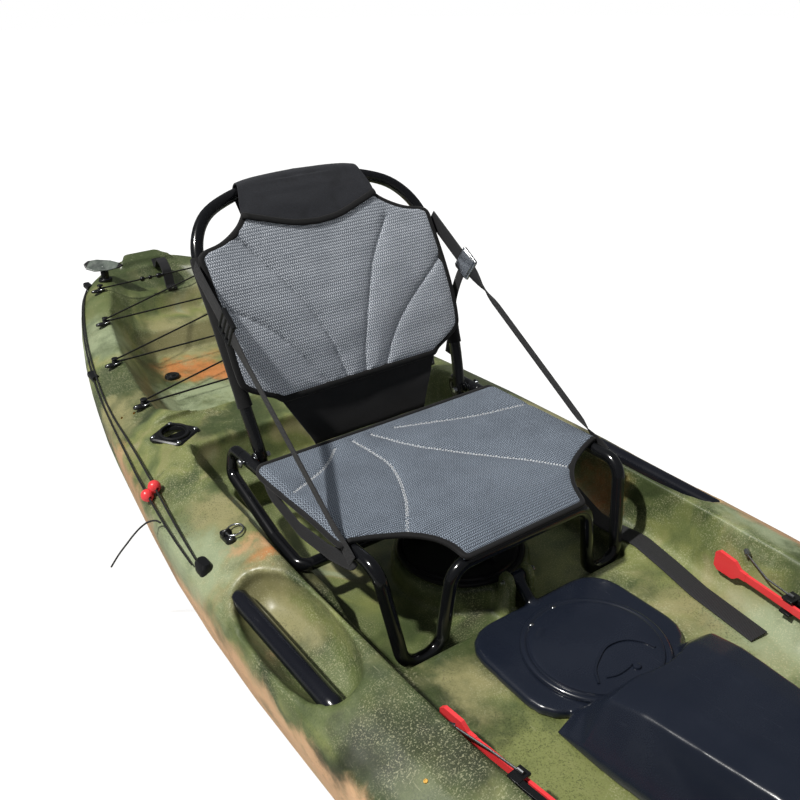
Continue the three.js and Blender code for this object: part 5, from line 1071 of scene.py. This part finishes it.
def make_backrest(sizes):
    quilt = Quilt(BACK_HALVES, back_spot, BACK_SEAMS, BACK_LENGTH, sizes.puff * 1000, 4.5)
    pad = quilt.sheet(150, 150).finish("back_cushion", "backrest", "mesh_fabric", "Grey back mesh", "seat_back_pad",
                                       sharp=80)
    binding(quilt, "back_binding", "backrest", 5, 13, 10)
    work = Work()
    for seam in quilt.seams:
        quilt.stitches(work, seam, 3.4, 2.0, 0.42)
    work.finish("back_stitches", "backrest", "mesh_fabric", "Grey thread")
    # Fabric sleeves that hold the back to its tube.
    work = Work()
    for side in (-1, 1):
        rises = [0.215 + 0.57 * k / 70 for k in range(71)]
        path = [V(side * arch_x(r), back_y(r), HINGE[2] + BACK_RISE * r) for r in rises]
        work.sweep(path, circle(0.0128, 22), side=(1, 0, 0),
                   swell=lambda t: 1.0 + 0.035 * noise.noise(Vector((t * 16, 3.3, 0))) + 0.05 * smooth(0.05, 0, t)
                   + 0.05 * smooth(0.95, 1, t))
    work.finish("back_sleeves", "backrest", "mesh_fabric", "Black binding")
    # Glossy piping along the lower edge.
    work = Work()
    path = [on_back(0.203, PAN_HALF * 0.655 * (k / 30 - 1), 16) for k in range(61)]
    work.sweep(path, circle(0.0034, 12), side=(0, 0, 1))
    work.finish("back_piping", "backrest", "mesh_fabric", "Glossy piping")
    # Headrest patch over the arch.
    def over(rise, x, gap):
        rim = min(quilt.half(rise) - abs(x), (quilt.high - rise) * BACK_LENGTH)
        lift = quilt.lift(min(rise, quilt.high - 0.02), x)
        return CLOTH_REACH + lift - back_dip(rise, x) + gap + 3.0 * smooth(20, 8, rim)

    work = Work()
    bm = work.bm
    verts = bmesh.ops.create_grid(bm, x_segments=48, y_segments=60, size=0.5)["verts"]
    for v in verts:
        share, t = v.co.x * 2, v.co.y + 0.5
        x = share * PAN_HALF * PATCH_HALF
        low = curve(PATCH_BORDER, abs(share))
        x *= 1 + PATCH_FLARE * smooth(0.45, 0.0, t) * smooth(0.7, 1.0, abs(share))
        top = arch_rise(x)
        front = (top - low) * BACK_LENGTH
        arc = PATCH_WRAP * math.pi
        s = t * (front + arc + PATCH_BEHIND)
        crease = noise.noise(Vector((x * 0.02, s * 0.05, 2.2))) * 1.2
        if s < front:
            rise = low + s / BACK_LENGTH
            above = over(rise, x, 2.8) + crease * 0.6
            v.co = on_back(rise, x, above + (PATCH_FRONT_REACH - above) * smooth(front - 40, front - 10, s))
        elif s < front + arc:
            a = (s - front) / PATCH_WRAP
            hub = on_back(top, x, 0)
            out = (on_back(top, x, 1) - hub).normalized()
            up = Vector((1, 0, 0)).cross(out)
            up = up if up.z > 0 else -up
            reach = PATCH_WRAP + (PATCH_FRONT_REACH - PATCH_WRAP) * smooth(2.0, 0.0, a)
            v.co = hub + (out * math.cos(a) + up * math.sin(a)) * (reach + crease * 0.3) * MM
        else:
            v.co = on_back(top - (s - front - arc) / BACK_LENGTH, x, -PATCH_WRAP)
        v[work.run], v[work.across] = s * MM, x * MM
    bmesh.ops.recalc_face_normals(bm, faces=bm.faces)
    patch = work.finish("headrest_patch", "backrest", "mesh_fabric", "Black nubuck", sharp=80)
    mod = patch.modifiers.new("Cloth", "SOLIDIFY")
    mod.thickness, mod.offset = 0.0018, -1.0
    # Band and sewn line round the patch.
    for name, material, flat in (("headrest_band", "Black binding", True),
                                 ("headrest_stitches", "Pale thread", False)):
        work = Work()
        rows = []
        for k in range(97):
            share = k / 48 - 1
            x = share * PAN_HALF * PATCH_HALF * (1 + PATCH_FLARE * smooth(0.7, 1.0, abs(share)))
            rows.append((x, curve(PATCH_BORDER, abs(share))))
        if flat:
            path = [on_back(rise - 0.002, x, over(rise - 0.002, x, 2.6)) for x, rise in rows]
            ways = [(on_back(rise + 0.01, x, 20) - on_back(rise, x, 20)).normalized() for x, rise in rows]
            work.sweep(path, superellipse(0.012, 0.005, 12, 3), side=ways)
        else:
            line = spaced([on_back(rise - 0.021, x, over(rise - 0.021, x, 0.2)) for x, rise in rows[2:-2]], 120)
            for a, b in zip(line[::2], line[1::2]):
                work.sweep([a, a.lerp(b, 0.5), b], circle(0.00045, 5))
        work.finish(name, "backrest", "mesh_fabric", material, sharp=80)
    # Plain flap below the back.
    work = Work()
    bm = work.bm
    verts = bmesh.ops.create_grid(bm, x_segments=40, y_segments=40, size=0.5)["verts"]
    for v in verts:
        share, t = v.co.x * 2, v.co.y + 0.5
        rise = -0.01 + 0.217 * t
        half = PAN_HALF * (0.47 + 0.185 * t)
        x = share * half
        slack = 2.5 * math.sin(math.pi * t) * math.cos(share * 1.4) + noise.noise(Vector((x * 0.02, t * 3, 9))) * 1.2
        v.co = on_back(rise, x, 14.2 - slack)
        v[work.run], v[work.across] = t * 0.09, x * MM
    flap = work.finish("back_flap", "backrest", "webbing", "Black cloth", "seat_back_flap", sharp=80)
    mod = flap.modifiers.new("Cloth", "SOLIDIFY")
    mod.thickness, mod.offset = 0.0016, 0.0


def make_pan(sizes):
    quilt = Quilt(PAN_HALVES, pan_spot, PAN_SEAMS, PAN_LENGTH, sizes.puff * 0.8 * 1000, 3.5)
    pan = quilt.sheet(150, 140).finish("seat_cushion", "hull", "mesh_fabric", "Dark pan mesh", "seat_pan", sharp=80)
    binding(quilt, "pan_binding", "hull", 4, 11, 7.5)
    work = Work()
    for seam in quilt.seams:
        for offset in (-1.3, 1.3):
            quilt.stitches(work, seam, 3.8, 1.1, 0.95, offset=offset, wobble=0.45)
    work.finish("pan_stitches", "hull", "mesh_fabric", "White thread")


def band_path(a, b, count, sag=0.0, drop=(0, 0, -1)):
    return [a.lerp(b, k / count) + Vector(drop) * sag * math.sin(math.pi * k / count) for k in range(count + 1)]


def make_straps(sizes):
    top_x = arch_x(STAY_RISE) + 12.6
    for side, tag in SIDES:
        top = V(side * top_x, back_y(STAY_RISE) - 11, STAY_TOP_Z)
        foot = V(side * STAY_FOOT[0], *STAY_FOOT[1:])
        along = foot - top
        across = Vector((0, -along.z, along.y)).normalized()
        work = Work()
        path = band_path(top, foot, 40)
        turned = [Matrix.Rotation(math.radians(62 if side > 0 else 12) * smooth(0.24, 0.4, k / 40)
                                  * smooth(1.0, 0.86, k / 40), 3, along) @ across for k in range(41)]
        work.sweep(path, superellipse(0.03, 0.0018, 16, 6), side=turned)
        strap = work.finish("stay_webbing_" + tag, None, *WEBBING, "stay_strap_" + tag, sharp=60)
        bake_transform(strap)
        way = along.normalized()
        out = across.cross(way)
        at = top.lerp(foot, 0.23 if side < 0 else 0.22)
        place = Matrix.Translation(at) @ basis(across, out, way)
        work = Work()
        if side < 0:
            for run in (-19, -6, 7, 19):
                work.sweep([at + way * run * MM + across * a * MM for a in (-23, -21, 21, 23)], circle(0.0033, 12))
            for a in (-22.5, 22.5):
                work.sweep([at + across * a * MM + way * run * MM for run in (-21, -20, 20, 21)],
                           superellipse(0.005, 0.009, 12, 3), side=across)
        else:
            work.block((0.048, 0.0045, 0.034), place @ Matrix.Translation((0, 0.003, 0)), bevel=0.0018, segments=3)
            for run in (-19, 19):
                work.sweep([at + way * run * MM + across * a * MM for a in (-23, -21, 21, 23)], circle(0.003, 12))
            for a in (-22.8, 22.8):
                work.sweep([at + across * a * MM + way * run * MM for run in (-19, 19)], circle(0.003, 12))
        work.finish("buckle_" + tag, "backrest", "black_fitting" if side < 0 else "stainless",
                    "Satin black plastic" if side < 0 else "Stainless steel", "strap_buckle_" + tag)
    # Loose end of the port stay strap below its buckle.
    at = V(top_x, back_y(STAY_RISE) - 11, STAY_TOP_Z).lerp(V(*STAY_FOOT), 0.22)
    work = Work()
    points = [at + V(0.5, 4, -4), at + V(3, 26, -40), at + V(2, 40, -86), at + V(4, 46, -150), at + V(1, 52, -205)]
    work.sweep(spline(points, 40), superellipse(0.0015, 0.02, 12, 5), side=(1, 0, 0.02))
    work.finish("stay_tail_p", "backrest", *WEBBING, sharp=60)
    # Tie strap under the starboard rail.
    x = -(RAIL_X - 12.3)
    corners = [V(x, 431, rail_z(431)), V(x, 409, 277.5), V(x, 310, 255.5), V(x, 216, 265), V(x, 150, 282.6),
               V(x, 139, rail_z(139))]
    work = Work()
    path = spaced(bent(corners, 0.033, 8), 70)
    work.sweep(path, superellipse(0.0018, 0.03, 16, 6), side=(1, 0, 0))
    work.finish("tie_webbing_s", "hull", *WEBBING, "tie_strap_s", sharp=60)
    # Loose strap end on the cockpit floor.
    shares = ((0, 0, 1), (0.28, 0.134, 0.29), (0.72, 0.2233, 0.04), (1, 0.3226, 0), (0.56, 0.5211, 0),
              (0.11, 0.6973, 0), (-0.28, 1, 0))
    corners = [V(236 + 36 * out, 150 - 403 * place, 184.6 + 48 * lift) for out, place, lift in shares]
    work = Work()
    path = spaced(bent(corners, 0.06, 8), 80)
    work.sweep(path, superellipse(0.034, 0.0019, 16, 6), side=(math.cos(0.1), math.sin(0.1), 0))
    work.finish("floor_webbing", "hull", *WEBBING, "floor_strap", sharp=60)


def make_deck_fittings(sizes):
    for side, tag in SIDES:
        refined("rod_holder_" + tag, "rod_tube_" + tag, "hull", *BLACK, 1.2)
        centre = V(side * ROD_X, ROD_Y, 289)
        work = Work()
        turn = side * 0.2
        ahead = Vector((-math.sin(turn), math.cos(turn), 0))
        right = Vector((math.cos(turn), math.sin(turn), 0))
        path = [centre + right * 0.0262 * math.cos(a) + ahead * 0.031 * math.sin(a)
                for a in [2 * math.pi * k / 48 for k in range(48)]]
        work.sweep(path, superellipse(0.0062, 0.0085, 12, 2.6),
                   side=[(p - centre).normalized() for p in path], closed=True)
        work.finish("rod_rim_" + tag, "hull", *BLACK)
        work = Work()
        for a, b in ((1, 0), (-1, 0), (0, 1), (0, -1)):
            work.screw(centre + right * a * 0.0405 + ahead * b * 0.0405, (0, 0, 1), 0.0048, slot=0)
        work.finish("rod_screws_" + tag, "hull", *STEEL)
        low, high = (Vector(p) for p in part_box("carry_bar_" + tag))
        mid = (low + high) / 2
        r = 0.0148
        work = Work()
        ends = [Vector((mid.x, low.y, mid.z)), Vector((mid.x, high.y, mid.z))]
        work.sweep(band_path(ends[0], ends[1], 30), circle(r, 28), side=(1, 0, 0),
                   swell=lambda t: 1 - 0.35 * smooth(0.03, 0, t) - 0.35 * smooth(0.97, 1, t))
        work.finish("carry_tube_" + tag, "hull", "black_fitting", "Glossy black tube", "carry_bar_" + tag)
    refined("pad_eye", "ring_base", "hull", *BLACK, 0.8)
    work = Work()
    x, y, z = RING_AT
    slope = 0.18
    tube_ring(work, V(x + 14 * math.cos(slope), y, z + 6 + 2 + 14 * math.sin(slope)),
              (-math.sin(slope), 0, math.cos(slope)), 0.014, 0.0017, sides=40)
    work.finish("steel_ring", "ring", "stainless", "Stainless steel", "d_ring")
    work = Work()
    for away in (12, -12):
        work.screw(V(x, y + away, z + 6), (0, 0, 1), 0.0034, slot=0)
    work.finish("ring_screws", "hull", *STEEL)
    work = Work()
    c = middle("scupper_plug")
    c.z = 0.1803
    work.turn(in_mm(((0, -18), (11, -18), (12.4, -16), (12.6, 0), (18.4, 0), (18.6, 2),
                                             (17.2, 5.4), (14, 6.6), (12, 5.4), (9, 5), (7, 8), (0, 8.4))), c, steps=40)
    work.finish("drain_plug", "plug", *BLACK, "scupper_plug")


def make_bungee(sizes):
    for side, tag in SIDES:
        for i in range(1, 5):
            node = f"bungee_hook_{tag}{i}"
            low, high = (Vector(p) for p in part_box(node))
            outer = high.x if side > 0 else low.x
            x, y, z = outer - side * 0.0238, (low.y + high.y) / 2, high.z - 0.019
            work = Work()
            base = Matrix.Translation((x + side * 0.0068, y, z + 0.0014)) @ Matrix.Diagonal((1.0, 0.53, 1, 1))
            made = bmesh.ops.create_circle(work.bm, cap_ends=True, segments=40, radius=0.0172, matrix=base)
            top = bmesh.ops.extrude_face_region(work.bm, geom=list({f for v in made["verts"] for f in v.link_faces}))
            face = next(g for g in top["geom"] if isinstance(g, bmesh.types.BMFace))
            bmesh.ops.translate(work.bm, verts=face.verts[:], vec=(0, 0, 0.0042))
            bmesh.ops.bevel(work.bm, geom=list(face.edges), offset=0.0016, segments=3, profile=0.5, affect="EDGES",
                            material=-1)
            work.turn(in_mm(((5.6, 0), (5.2, 3.4), (3.6, 5.4), (3.2, 8), (3.2, 13.2), (5.4, 14.2),
                                                     (7.4, 15.4), (7.6, 16.8), (6.6, 18.2), (4, 18.9), (0, 19))),
                      Vector((x, y, z)), steps=28)
            work.finish(f"deck_hook_{tag}{i}", "hull", *BLACK, node)
            work = Work()
            work.screw(Vector((x + side * 0.0165, y, z + 0.0054)), (0, 0, 1), 0.0042, slot=0)
            tube_ring(work, Vector((x - side * 0.003, y, z + 0.0068)), (side * 0.3, 0.1, 1), 0.0085, 0.0014, sides=24)
            work.finish(f"hook_steel_{tag}{i}", "hull", *STEEL)
    work = Work("bungee_cord")
    work.bm.normal_update()
    for v in work.bm.verts:
        v.co -= v.normal * 0.5 * MM
    work.finish("bungee_line", "hull", "webbing", "Elastic cord", "bungee_cord", sharp=60, subdivide=1)
    # Cord locks on the first row.
    rows = {}
    for tag in "sp":
        low, high = (Vector(p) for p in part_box(f"bungee_hook_{tag}1"))
        rows[tag] = (low + high) / 2
        rows[tag].z = high.z - 0.009
    work = Work()
    a, b = rows["s"], rows["p"]
    d = (b - a).normalized()
    locks = ((0.34, 0.011, 0.0062), (0.4, 0.009, 0.005), (0.47, 0.014, 0.0066), (0.5, 0.008, 0.0052))
    for share, length, radius in locks:
        p = a.lerp(b, share)
        path = band_path(p - d * length / 2, p + d * length / 2, 8)
        work.sweep(path, circle(radius, 16), swell=lambda t: 0.62 + 0.42 * math.sin(math.pi * min(1, max(0, t))) ** 0.5)
    work.finish("cord_locks", "hull", "webbing", "Satin black plastic")


def make_rudder_lines(sizes):
    for which in ("inner", "outer"):
        work = Work("rudder_line_" + which)
        work.finish("line_" + which, "hull", "webbing", "Thin cord", "rudder_line_" + which, sharp=60, subdivide=1)
        c = middle("pull_bead_" + which)
        work = Work()
        bead = ((2.2, -9.1), (3.2, -9.3), (4.4, -8.6), (7, -6.6), (8.9, -3.6), (9.5, 0), (8.9, 3.6), (7, 6.6),
                (4.4, 8.6), (3.2, 9.3), (2.2, 9.1), (2.2, -9.1))
        size = 1.22 * MM
        work.turn([(r * size, h * size) for r, h in bead], c, (-0.16, 1, 0.01), 32)
        work.finish("bead_" + which, "hull", "red_plastic", "Red plastic", "pull_bead_" + which)
    for node, name in (("line_sleeve_front", "sleeve_front"), ("line_sleeve_rear", "sleeve_rear")):
        work, c = Work(node), middle(node)
        bmesh.ops.scale(work.bm, vec=(0.6, 1.0, 0.6), space=Matrix.Translation(-c), verts=work.bm.verts)
        work.finish(name, "hull", *BLACK, node, bevel=1.2, segments=3, normals=False)
    refined("line_cap", "line_end_cap", "hull", *BLACK, 1.6, segments=3)
    root = V(-406.5115, 472.6612, 251.5844)
    shares = ((0.03, 0, 0), (0.08, 0.082, -0.013), (0.21, 0.204, 0.027), (0.34, 0.337, 0.133), (0.49, 0.48, 0.293),
              (0.65, 0.633, 0.493), (0.83, 0.816, 0.733), (1, 1, 1))
    touch = (1.9 + 1.6 + 0.3) * 0.54
    points = [root + V(-71 * out - touch, 98 * run, -120 * drop) for out, run, drop in shares]
    path = spline(points, 60)
    work = Work()
    work.sweep(path, circle(0.0016, 12))
    tail = work.finish("loose_line", "hull", "webbing", "Thin cord", "line_tail", sharp=60)


def make_stern(sizes):
    refined("stern_handle", "stern_grip", "hull", "black_fitting", "Rubbery strap", 1.4, segments=3)
    refined("bow_handle", "bow_grip", "hull", "black_fitting", "Rubbery strap", 1.4, segments=3)
    work = Work()
    for node in ("stern_handle", "bow_handle"):
        low, high = (Vector(p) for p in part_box(node))
        for y in (low.y + 0.009, high.y - 0.009):
            point, normal = on_hull((low.x + high.x) / 2, y)
            work.screw(point + normal * 0.0068, normal, 0.006, slot=0)
    work.finish("handle_screws", "hull", *STEEL)
    refined("stern_post", "leaf_post", "hull", *BLACK, 1.5, segments=3)
    make_skin("leaf_blade", "stern_leaf", "leaf", "leaf_plastic", "Smoky leaf plastic", 1.0, 10, 30000)


def make_rudder(sizes):
    refined("rudder_bracket", "rudder_mount", "hull", *BLACK, 1.2)
    refined("rudder_head", "rudder_yoke", "rudder_steering_head", *BLACK, 1.0)
    refined("rudder_blade", "rudder_fin", "rudder_lifting_blade", *BLACK, 1.2)
    work = Work()
    for z in (0.225, 0.3):
        for x in (-0.012, 0.012):
            work.screw(Vector((x, 1.6105, z)), (0, 1, 0), 0.0042, slot=0)
    work.finish("rudder_screws", "hull", *STEEL)


def make_foot_braces(sizes):
    for tag in "sp":
        refined("foot_rail_" + tag, "brace_rail_" + tag, "hull", *BLACK, 0.9)
        refined("foot_carriage_" + tag, "brace_slider_" + tag, "carriage_" + tag, *BLACK, 0.9)
        refined("foot_pedal_" + tag, "brace_pedal_" + tag, "pedal_" + tag, *BLACK, 1.6, segments=3)
        refined("foot_lever_" + tag, "brace_lever_" + tag, "lever_" + tag, "red_plastic", "Red plastic", 1.0,
                segments=3)
        refined("rudder_cable_" + tag, "steering_cable_" + tag, "hull", "steel_cable", "Steel cable", 0.2)


def make_stage(sizes):
    scene = bpy.context.scene
    work = Work()
    bmesh.ops.create_circle(work.bm, cap_ends=True, segments=64, radius=14.0,
                            matrix=Matrix.Translation((0, 0, -0.0006)))
    floor = work.finish("studio_floor", None, None, "Pale floor", sharp=80)
    world = bpy.data.worlds.new("Studio")
    world.use_nodes = True
    tree = world.node_tree
    back = tree.nodes["Background"]
    back.inputs["Color"].default_value = (0.93, 0.96, 1.0, 1.0)
    seen = tree.nodes.new("ShaderNodeBackground")
    seen.inputs["Color"].default_value = (1.0, 1.0, 1.0, 1.0)
    seen.inputs["Strength"].default_value = 1.0
    path = tree.nodes.new("ShaderNodeLightPath")
    rays = tree.nodes.new("ShaderNodeMath")
    rays.operation = "MAXIMUM"
    tree.links.new(path.outputs["Is Camera Ray"], rays.inputs[0])
    tree.links.new(path.outputs["Is Transmission Ray"], rays.inputs[1])
    dimmer = tree.nodes.new("ShaderNodeMath")  # shiny blacks mirror a darker surrounding than the one that lights them
    dimmer.operation = "MULTIPLY_ADD"
    tree.links.new(path.outputs["Is Glossy Ray"], dimmer.inputs[0])
    dimmer.inputs[1].default_value = -0.7 * sizes.fill_light
    dimmer.inputs[2].default_value = sizes.fill_light
    tree.links.new(dimmer.outputs[0], back.inputs["Strength"])
    mix = tree.nodes.new("ShaderNodeMixShader")
    tree.links.new(rays.outputs[0], mix.inputs[0])
    tree.links.new(back.outputs[0], mix.inputs[1])
    tree.links.new(seen.outputs[0], mix.inputs[2])
    tree.links.new(mix.outputs[0], tree.nodes["World Output"].inputs["Surface"])
    scene.world = world
    sun = bpy.data.lights.new("key_light", "SUN")
    sun.energy, sun.angle, sun.color = sizes.key_light, math.radians(3.0), (1.0, 0.98, 0.94)
    lamp = bpy.data.objects.new("key_light", sun)
    lamp.rotation_euler = Vector(SUN_WAY).to_track_quat("-Z", "Y").to_euler()
    scene.collection.objects.link(lamp)
    soft = bpy.data.lights.new("fill_light", "AREA")
    soft.energy, soft.size = 35.0, 3.0
    lamp = bpy.data.objects.new("fill_light", soft)
    lamp.location = (1.5, 1.5, 3.2)
    lamp.visible_glossy = False
    lamp.rotation_euler = (Vector((0, 0.3, 0.2)) - lamp.location).to_track_quat("-Z", "Y").to_euler()
    scene.collection.objects.link(lamp)
    camera = bpy.data.cameras.new("photo_view")
    camera.sensor_width = SENSOR_WIDTH
    camera.lens = SENSOR_WIDTH * FOCAL_PIXELS / PHOTO_PIXELS
    camera.clip_start, camera.clip_end = 0.05, 60.0
    view = bpy.data.objects.new("photo_view", camera)
    yaw, pitch, roll = (math.radians(a) for a in CAMERA_ANGLES)
    ahead = Vector((math.sin(yaw) * math.cos(pitch), math.cos(yaw) * math.cos(pitch), math.sin(pitch)))
    right = Vector((math.cos(yaw), -math.sin(yaw), 0.0))
    up = right.cross(ahead)
    x = right * math.cos(roll) + up * math.sin(roll)
    y = up * math.cos(roll) - right * math.sin(roll)
    view.matrix_world = Matrix.Translation(CAMERA_AT) @ basis(x, y, -ahead)
    scene.collection.objects.link(view)
    scene.camera = view
    scene.view_settings.view_transform = "Standard"


def make_materials(looks):
    make_groups()
    colours = {name: (*getattr(looks, name), 1.0) for name in
               ("dark", "green", "olive", "moss", "khaki", "sage", "pale", "tan", "skin", "rust")}
    make_hull_plastic(colours)
    make_plastic("Satin black plastic", shade("0e0f11"), 0.33, scuffs=0.5)
    make_plastic("Console plastic", shade("121722"), 0.25, 1000.0, 0.00012, 0.35, 0.35)
    make_plastic("Powder-coated tube", shade("08090c"), 0.18, 1500.0, 0.00003, 0.35, 0.7)
    make_plastic("Glossy black tube", shade("080a12"), 0.2, 1200.0, 0.00003, 0.3, 0.6)
    make_plastic("Glossy piping", shade("0a0a0c"), 0.24, 900.0, 0.0001, 0.2, 0.4)
    make_plastic("Rubbery strap", shade("1c1c1e"), 0.55, 500.0, 0.0002, 0.4)
    make_plastic("Red plastic", shade("d5262c"), 0.36, 900.0, 0.0001, 0.35, 0.15, shade("e8696a"))
    make_leaf_plastic()
    make_metal("Stainless steel", shade("c9ccd0"), 0.22)
    make_metal("Brass", shade("c39a4f"), 0.3)
    make_metal("Steel cable", shade("8d8f92"), 0.38, (700.0, 700.0, 700.0))
    make_mesh_cloth("Grey back mesh", shade("dbe0e8"), shade("5a6069"), looks.mesh_row, looks.mesh_dash)
    make_mesh_cloth("Dark pan mesh", shade("9aa6b4"), shade("2e343e"), looks.mesh_row * 0.8, looks.mesh_dash * 0.8)
    make_webbing("Dark webbing", shade("2e2e31"), shade("0c0c0d"), 0.0024)
    make_webbing("Elastic cord", shade("3a3b3d"), shade("131314"), 0.003)
    make_webbing("Thin cord", shade("2c2c2e"), shade("101011"), 0.002)
    make_fuzzy("Black binding", shade("151517"), shade("050506"), 900.0)
    make_fuzzy("Black nubuck", shade("2b2d34"), shade("121317"), 1500.0, 0.8, 0.12)
    make_fuzzy("Black cloth", shade("17171a"), shade("08080a"), 1200.0, 0.7, 0.2, 0.3)
    make_fuzzy("White thread", shade("d9dbdc"), shade("9b9ea2"), 2500.0, 0.7, 0.2)
    make_fuzzy("Pale thread", shade("9a9ca0"), shade("6a6c70"), 2500.0, 0.7, 0.2)
    make_fuzzy("Grey thread", shade("8b9098"), shade("555a62"), 2500.0, 0.7, 0.2)
    f = Finish("Pale floor", Roughness=0.8)
    at = f.coordinates()
    glow = f.node("Emission", {"Color": (1, 1, 1, 1), "Strength": 1.0})
    rays = f.node("LightPath")
    pale = f.mix(f.noise(3.0, at), shade("fafafa"), shade("f4f4f4"))
    # Glossy rays see the floor as dark grey: painted shade in what the shiny parts reflect.
    f.set(Base_Color=f.mix(rays.outputs["Is Glossy Ray"], pale, shade("5a5c58")))
    share = f.math("MULTIPLY", f.math("MAXIMUM", rays.outputs["Is Camera Ray"], rays.outputs["Is Transmission Ray"]),
                   0.72)
    mix = f.node("MixShader", {0: share, 1: f.shader.outputs[0], 2: glow.outputs[0]})
    f.put(f.tree.nodes["Material Output"].inputs["Surface"], mix.outputs[0])


def colour_of(name, code, words):
    return FloatVectorProperty(name=name, description=words, subtype="COLOR", size=3, min=0.0, max=1.0,
                               default=shade(code)[:3])


class KayakLooks(PropertyGroup):
    """Colours and cloth of the kayak."""
    dark: colour_of("Dark", "272c1b", "Darkest camouflage colour")
    green: colour_of("Green", "3b4628", "Deep green of the camouflage")
    olive: colour_of("Olive", "58623a", "Main olive of the camouflage")
    moss: colour_of("Moss", "6f7544", "Yellow-green of the camouflage")
    khaki: colour_of("Khaki", "837f58", "Khaki of the camouflage")
    sage: colour_of("Sage", "858f70", "Grey-green of the camouflage")
    pale: colour_of("Pale", "b0ae8c", "Palest camouflage colour")
    tan: colour_of("Tan", "b28c66", "Tan of the camouflage")
    skin: colour_of("Sand", "c29a74", "Warm sand colour of the outer sides")
    rust: colour_of("Rust", "b0703f", "Orange patches of the camouflage")
    mesh_row: FloatProperty(name="Mesh row", description="Height of one woven row", default=0.0052, min=0.002,
                            max=0.02, unit="LENGTH")
    mesh_dash: FloatProperty(name="Mesh dash", description="Width of one woven dash", default=0.0042, min=0.002,
                             max=0.02, unit="LENGTH")


class KayakSizes(PropertyGroup):
    """Sizes that shape the kayak's finish."""
    hull_voxel: FloatProperty(name="Hull detail", description="Smallest form of the moulded hull skin",
                              default=0.005, min=0.004, max=0.012, unit="LENGTH")
    puff: FloatProperty(name="Padding", description="Height of the padding between the seams", default=0.0065,
                        min=0.001, max=0.012, unit="LENGTH")
    key_light: FloatProperty(name="Key light", description="Strength of the key light", default=4.3, min=0.0,
                             max=10.0)
    fill_light: FloatProperty(name="Fill light", description="Strength of the light from all round", default=0.3,
                              min=0.0, max=3.0)


def step(idname, label, words, build):
    """Operator class that runs one builder."""
    def execute(self, context):
        build(context.scene.kayak_sizes)
        return {"FINISHED"}
    return type("KAYAK_OT_" + idname, (Operator,), {"bl_idname": "kayak." + idname, "bl_label": label,
                                                    "__doc__": words, "execute": execute})


STEPS = [step(*row) for row in (
    ("stage", "Stage", "Makes the floor, the lights and the camera", make_stage),
    ("rudder_lines", "Rudder lines", "Makes the rudder lines, their beads, sleeves and loose end", make_rudder_lines),
    ("hull", "Hull", "Makes the moulded hull, its inserts and the lugs' screws", make_hull),
    ("console", "Console", "Makes the console and the two round hatches", make_console),
    ("frames", "Seat frames", "Makes the seat's bent tubes and bolts", make_frames),
    ("backrest", "Backrest", "Makes the mesh back, its patch, binding and flap", make_backrest),
    ("pan", "Seat pan", "Makes the mesh seat pan", make_pan),
    ("straps", "Straps", "Makes the webbing and its buckles", make_straps),
    ("deck_fittings", "Deck fittings", "Makes the rod holders, carry bars, ring and drain plug", make_deck_fittings),
    ("bungee", "Bungee cord", "Makes the hooks and the cord over the rear well", make_bungee),
    ("stern", "Handles and leaf", "Makes the carry handles and the leaf on its post", make_stern),
    ("rudder", "Rudder", "Makes the rudder and its bracket", make_rudder),
    ("foot_braces", "Foot braces", "Makes the sliding foot braces and their cables", make_foot_braces),
)]


class KAYAK_OT_materials(Operator):
    """Makes every material of the kayak"""
    bl_idname = "kayak.materials"
    bl_label = "Materials"

    def execute(self, context):
        make_materials(context.scene.kayak_looks)
        return {"FINISHED"}


class KAYAK_PT_panel(Panel):
    """Builds the kayak step by step"""
    bl_idname = "KAYAK_PT_panel"
    bl_label = "Fishing kayak"
    bl_space_type = "VIEW_3D"
    bl_region_type = "UI"
    bl_category = "Kayak"

    def draw(self, context):
        for group in (context.scene.kayak_sizes, context.scene.kayak_looks):
            for name in type(group).__annotations__:
                self.layout.prop(group, name)
        for made in (KAYAK_OT_materials, *STEPS):
            self.layout.operator(made.bl_idname)


CLASSES = (KayakLooks, KayakSizes, KAYAK_OT_materials, *STEPS, KAYAK_PT_panel)


def register():
    for made in CLASSES:
        bpy.utils.register_class(made)
    bpy.types.Scene.kayak_looks = PointerProperty(type=KayakLooks)
    bpy.types.Scene.kayak_sizes = PointerProperty(type=KayakSizes)


def unregister():
    del bpy.types.Scene.kayak_looks
    del bpy.types.Scene.kayak_sizes
    for made in reversed(CLASSES):
        bpy.utils.unregister_class(made)


def main():
    register()
    for made in (KAYAK_OT_materials, *STEPS):
        group, name = made.bl_idname.split(".")
        getattr(getattr(bpy.ops, group), name)()


if __name__ == "__main__":
    main()
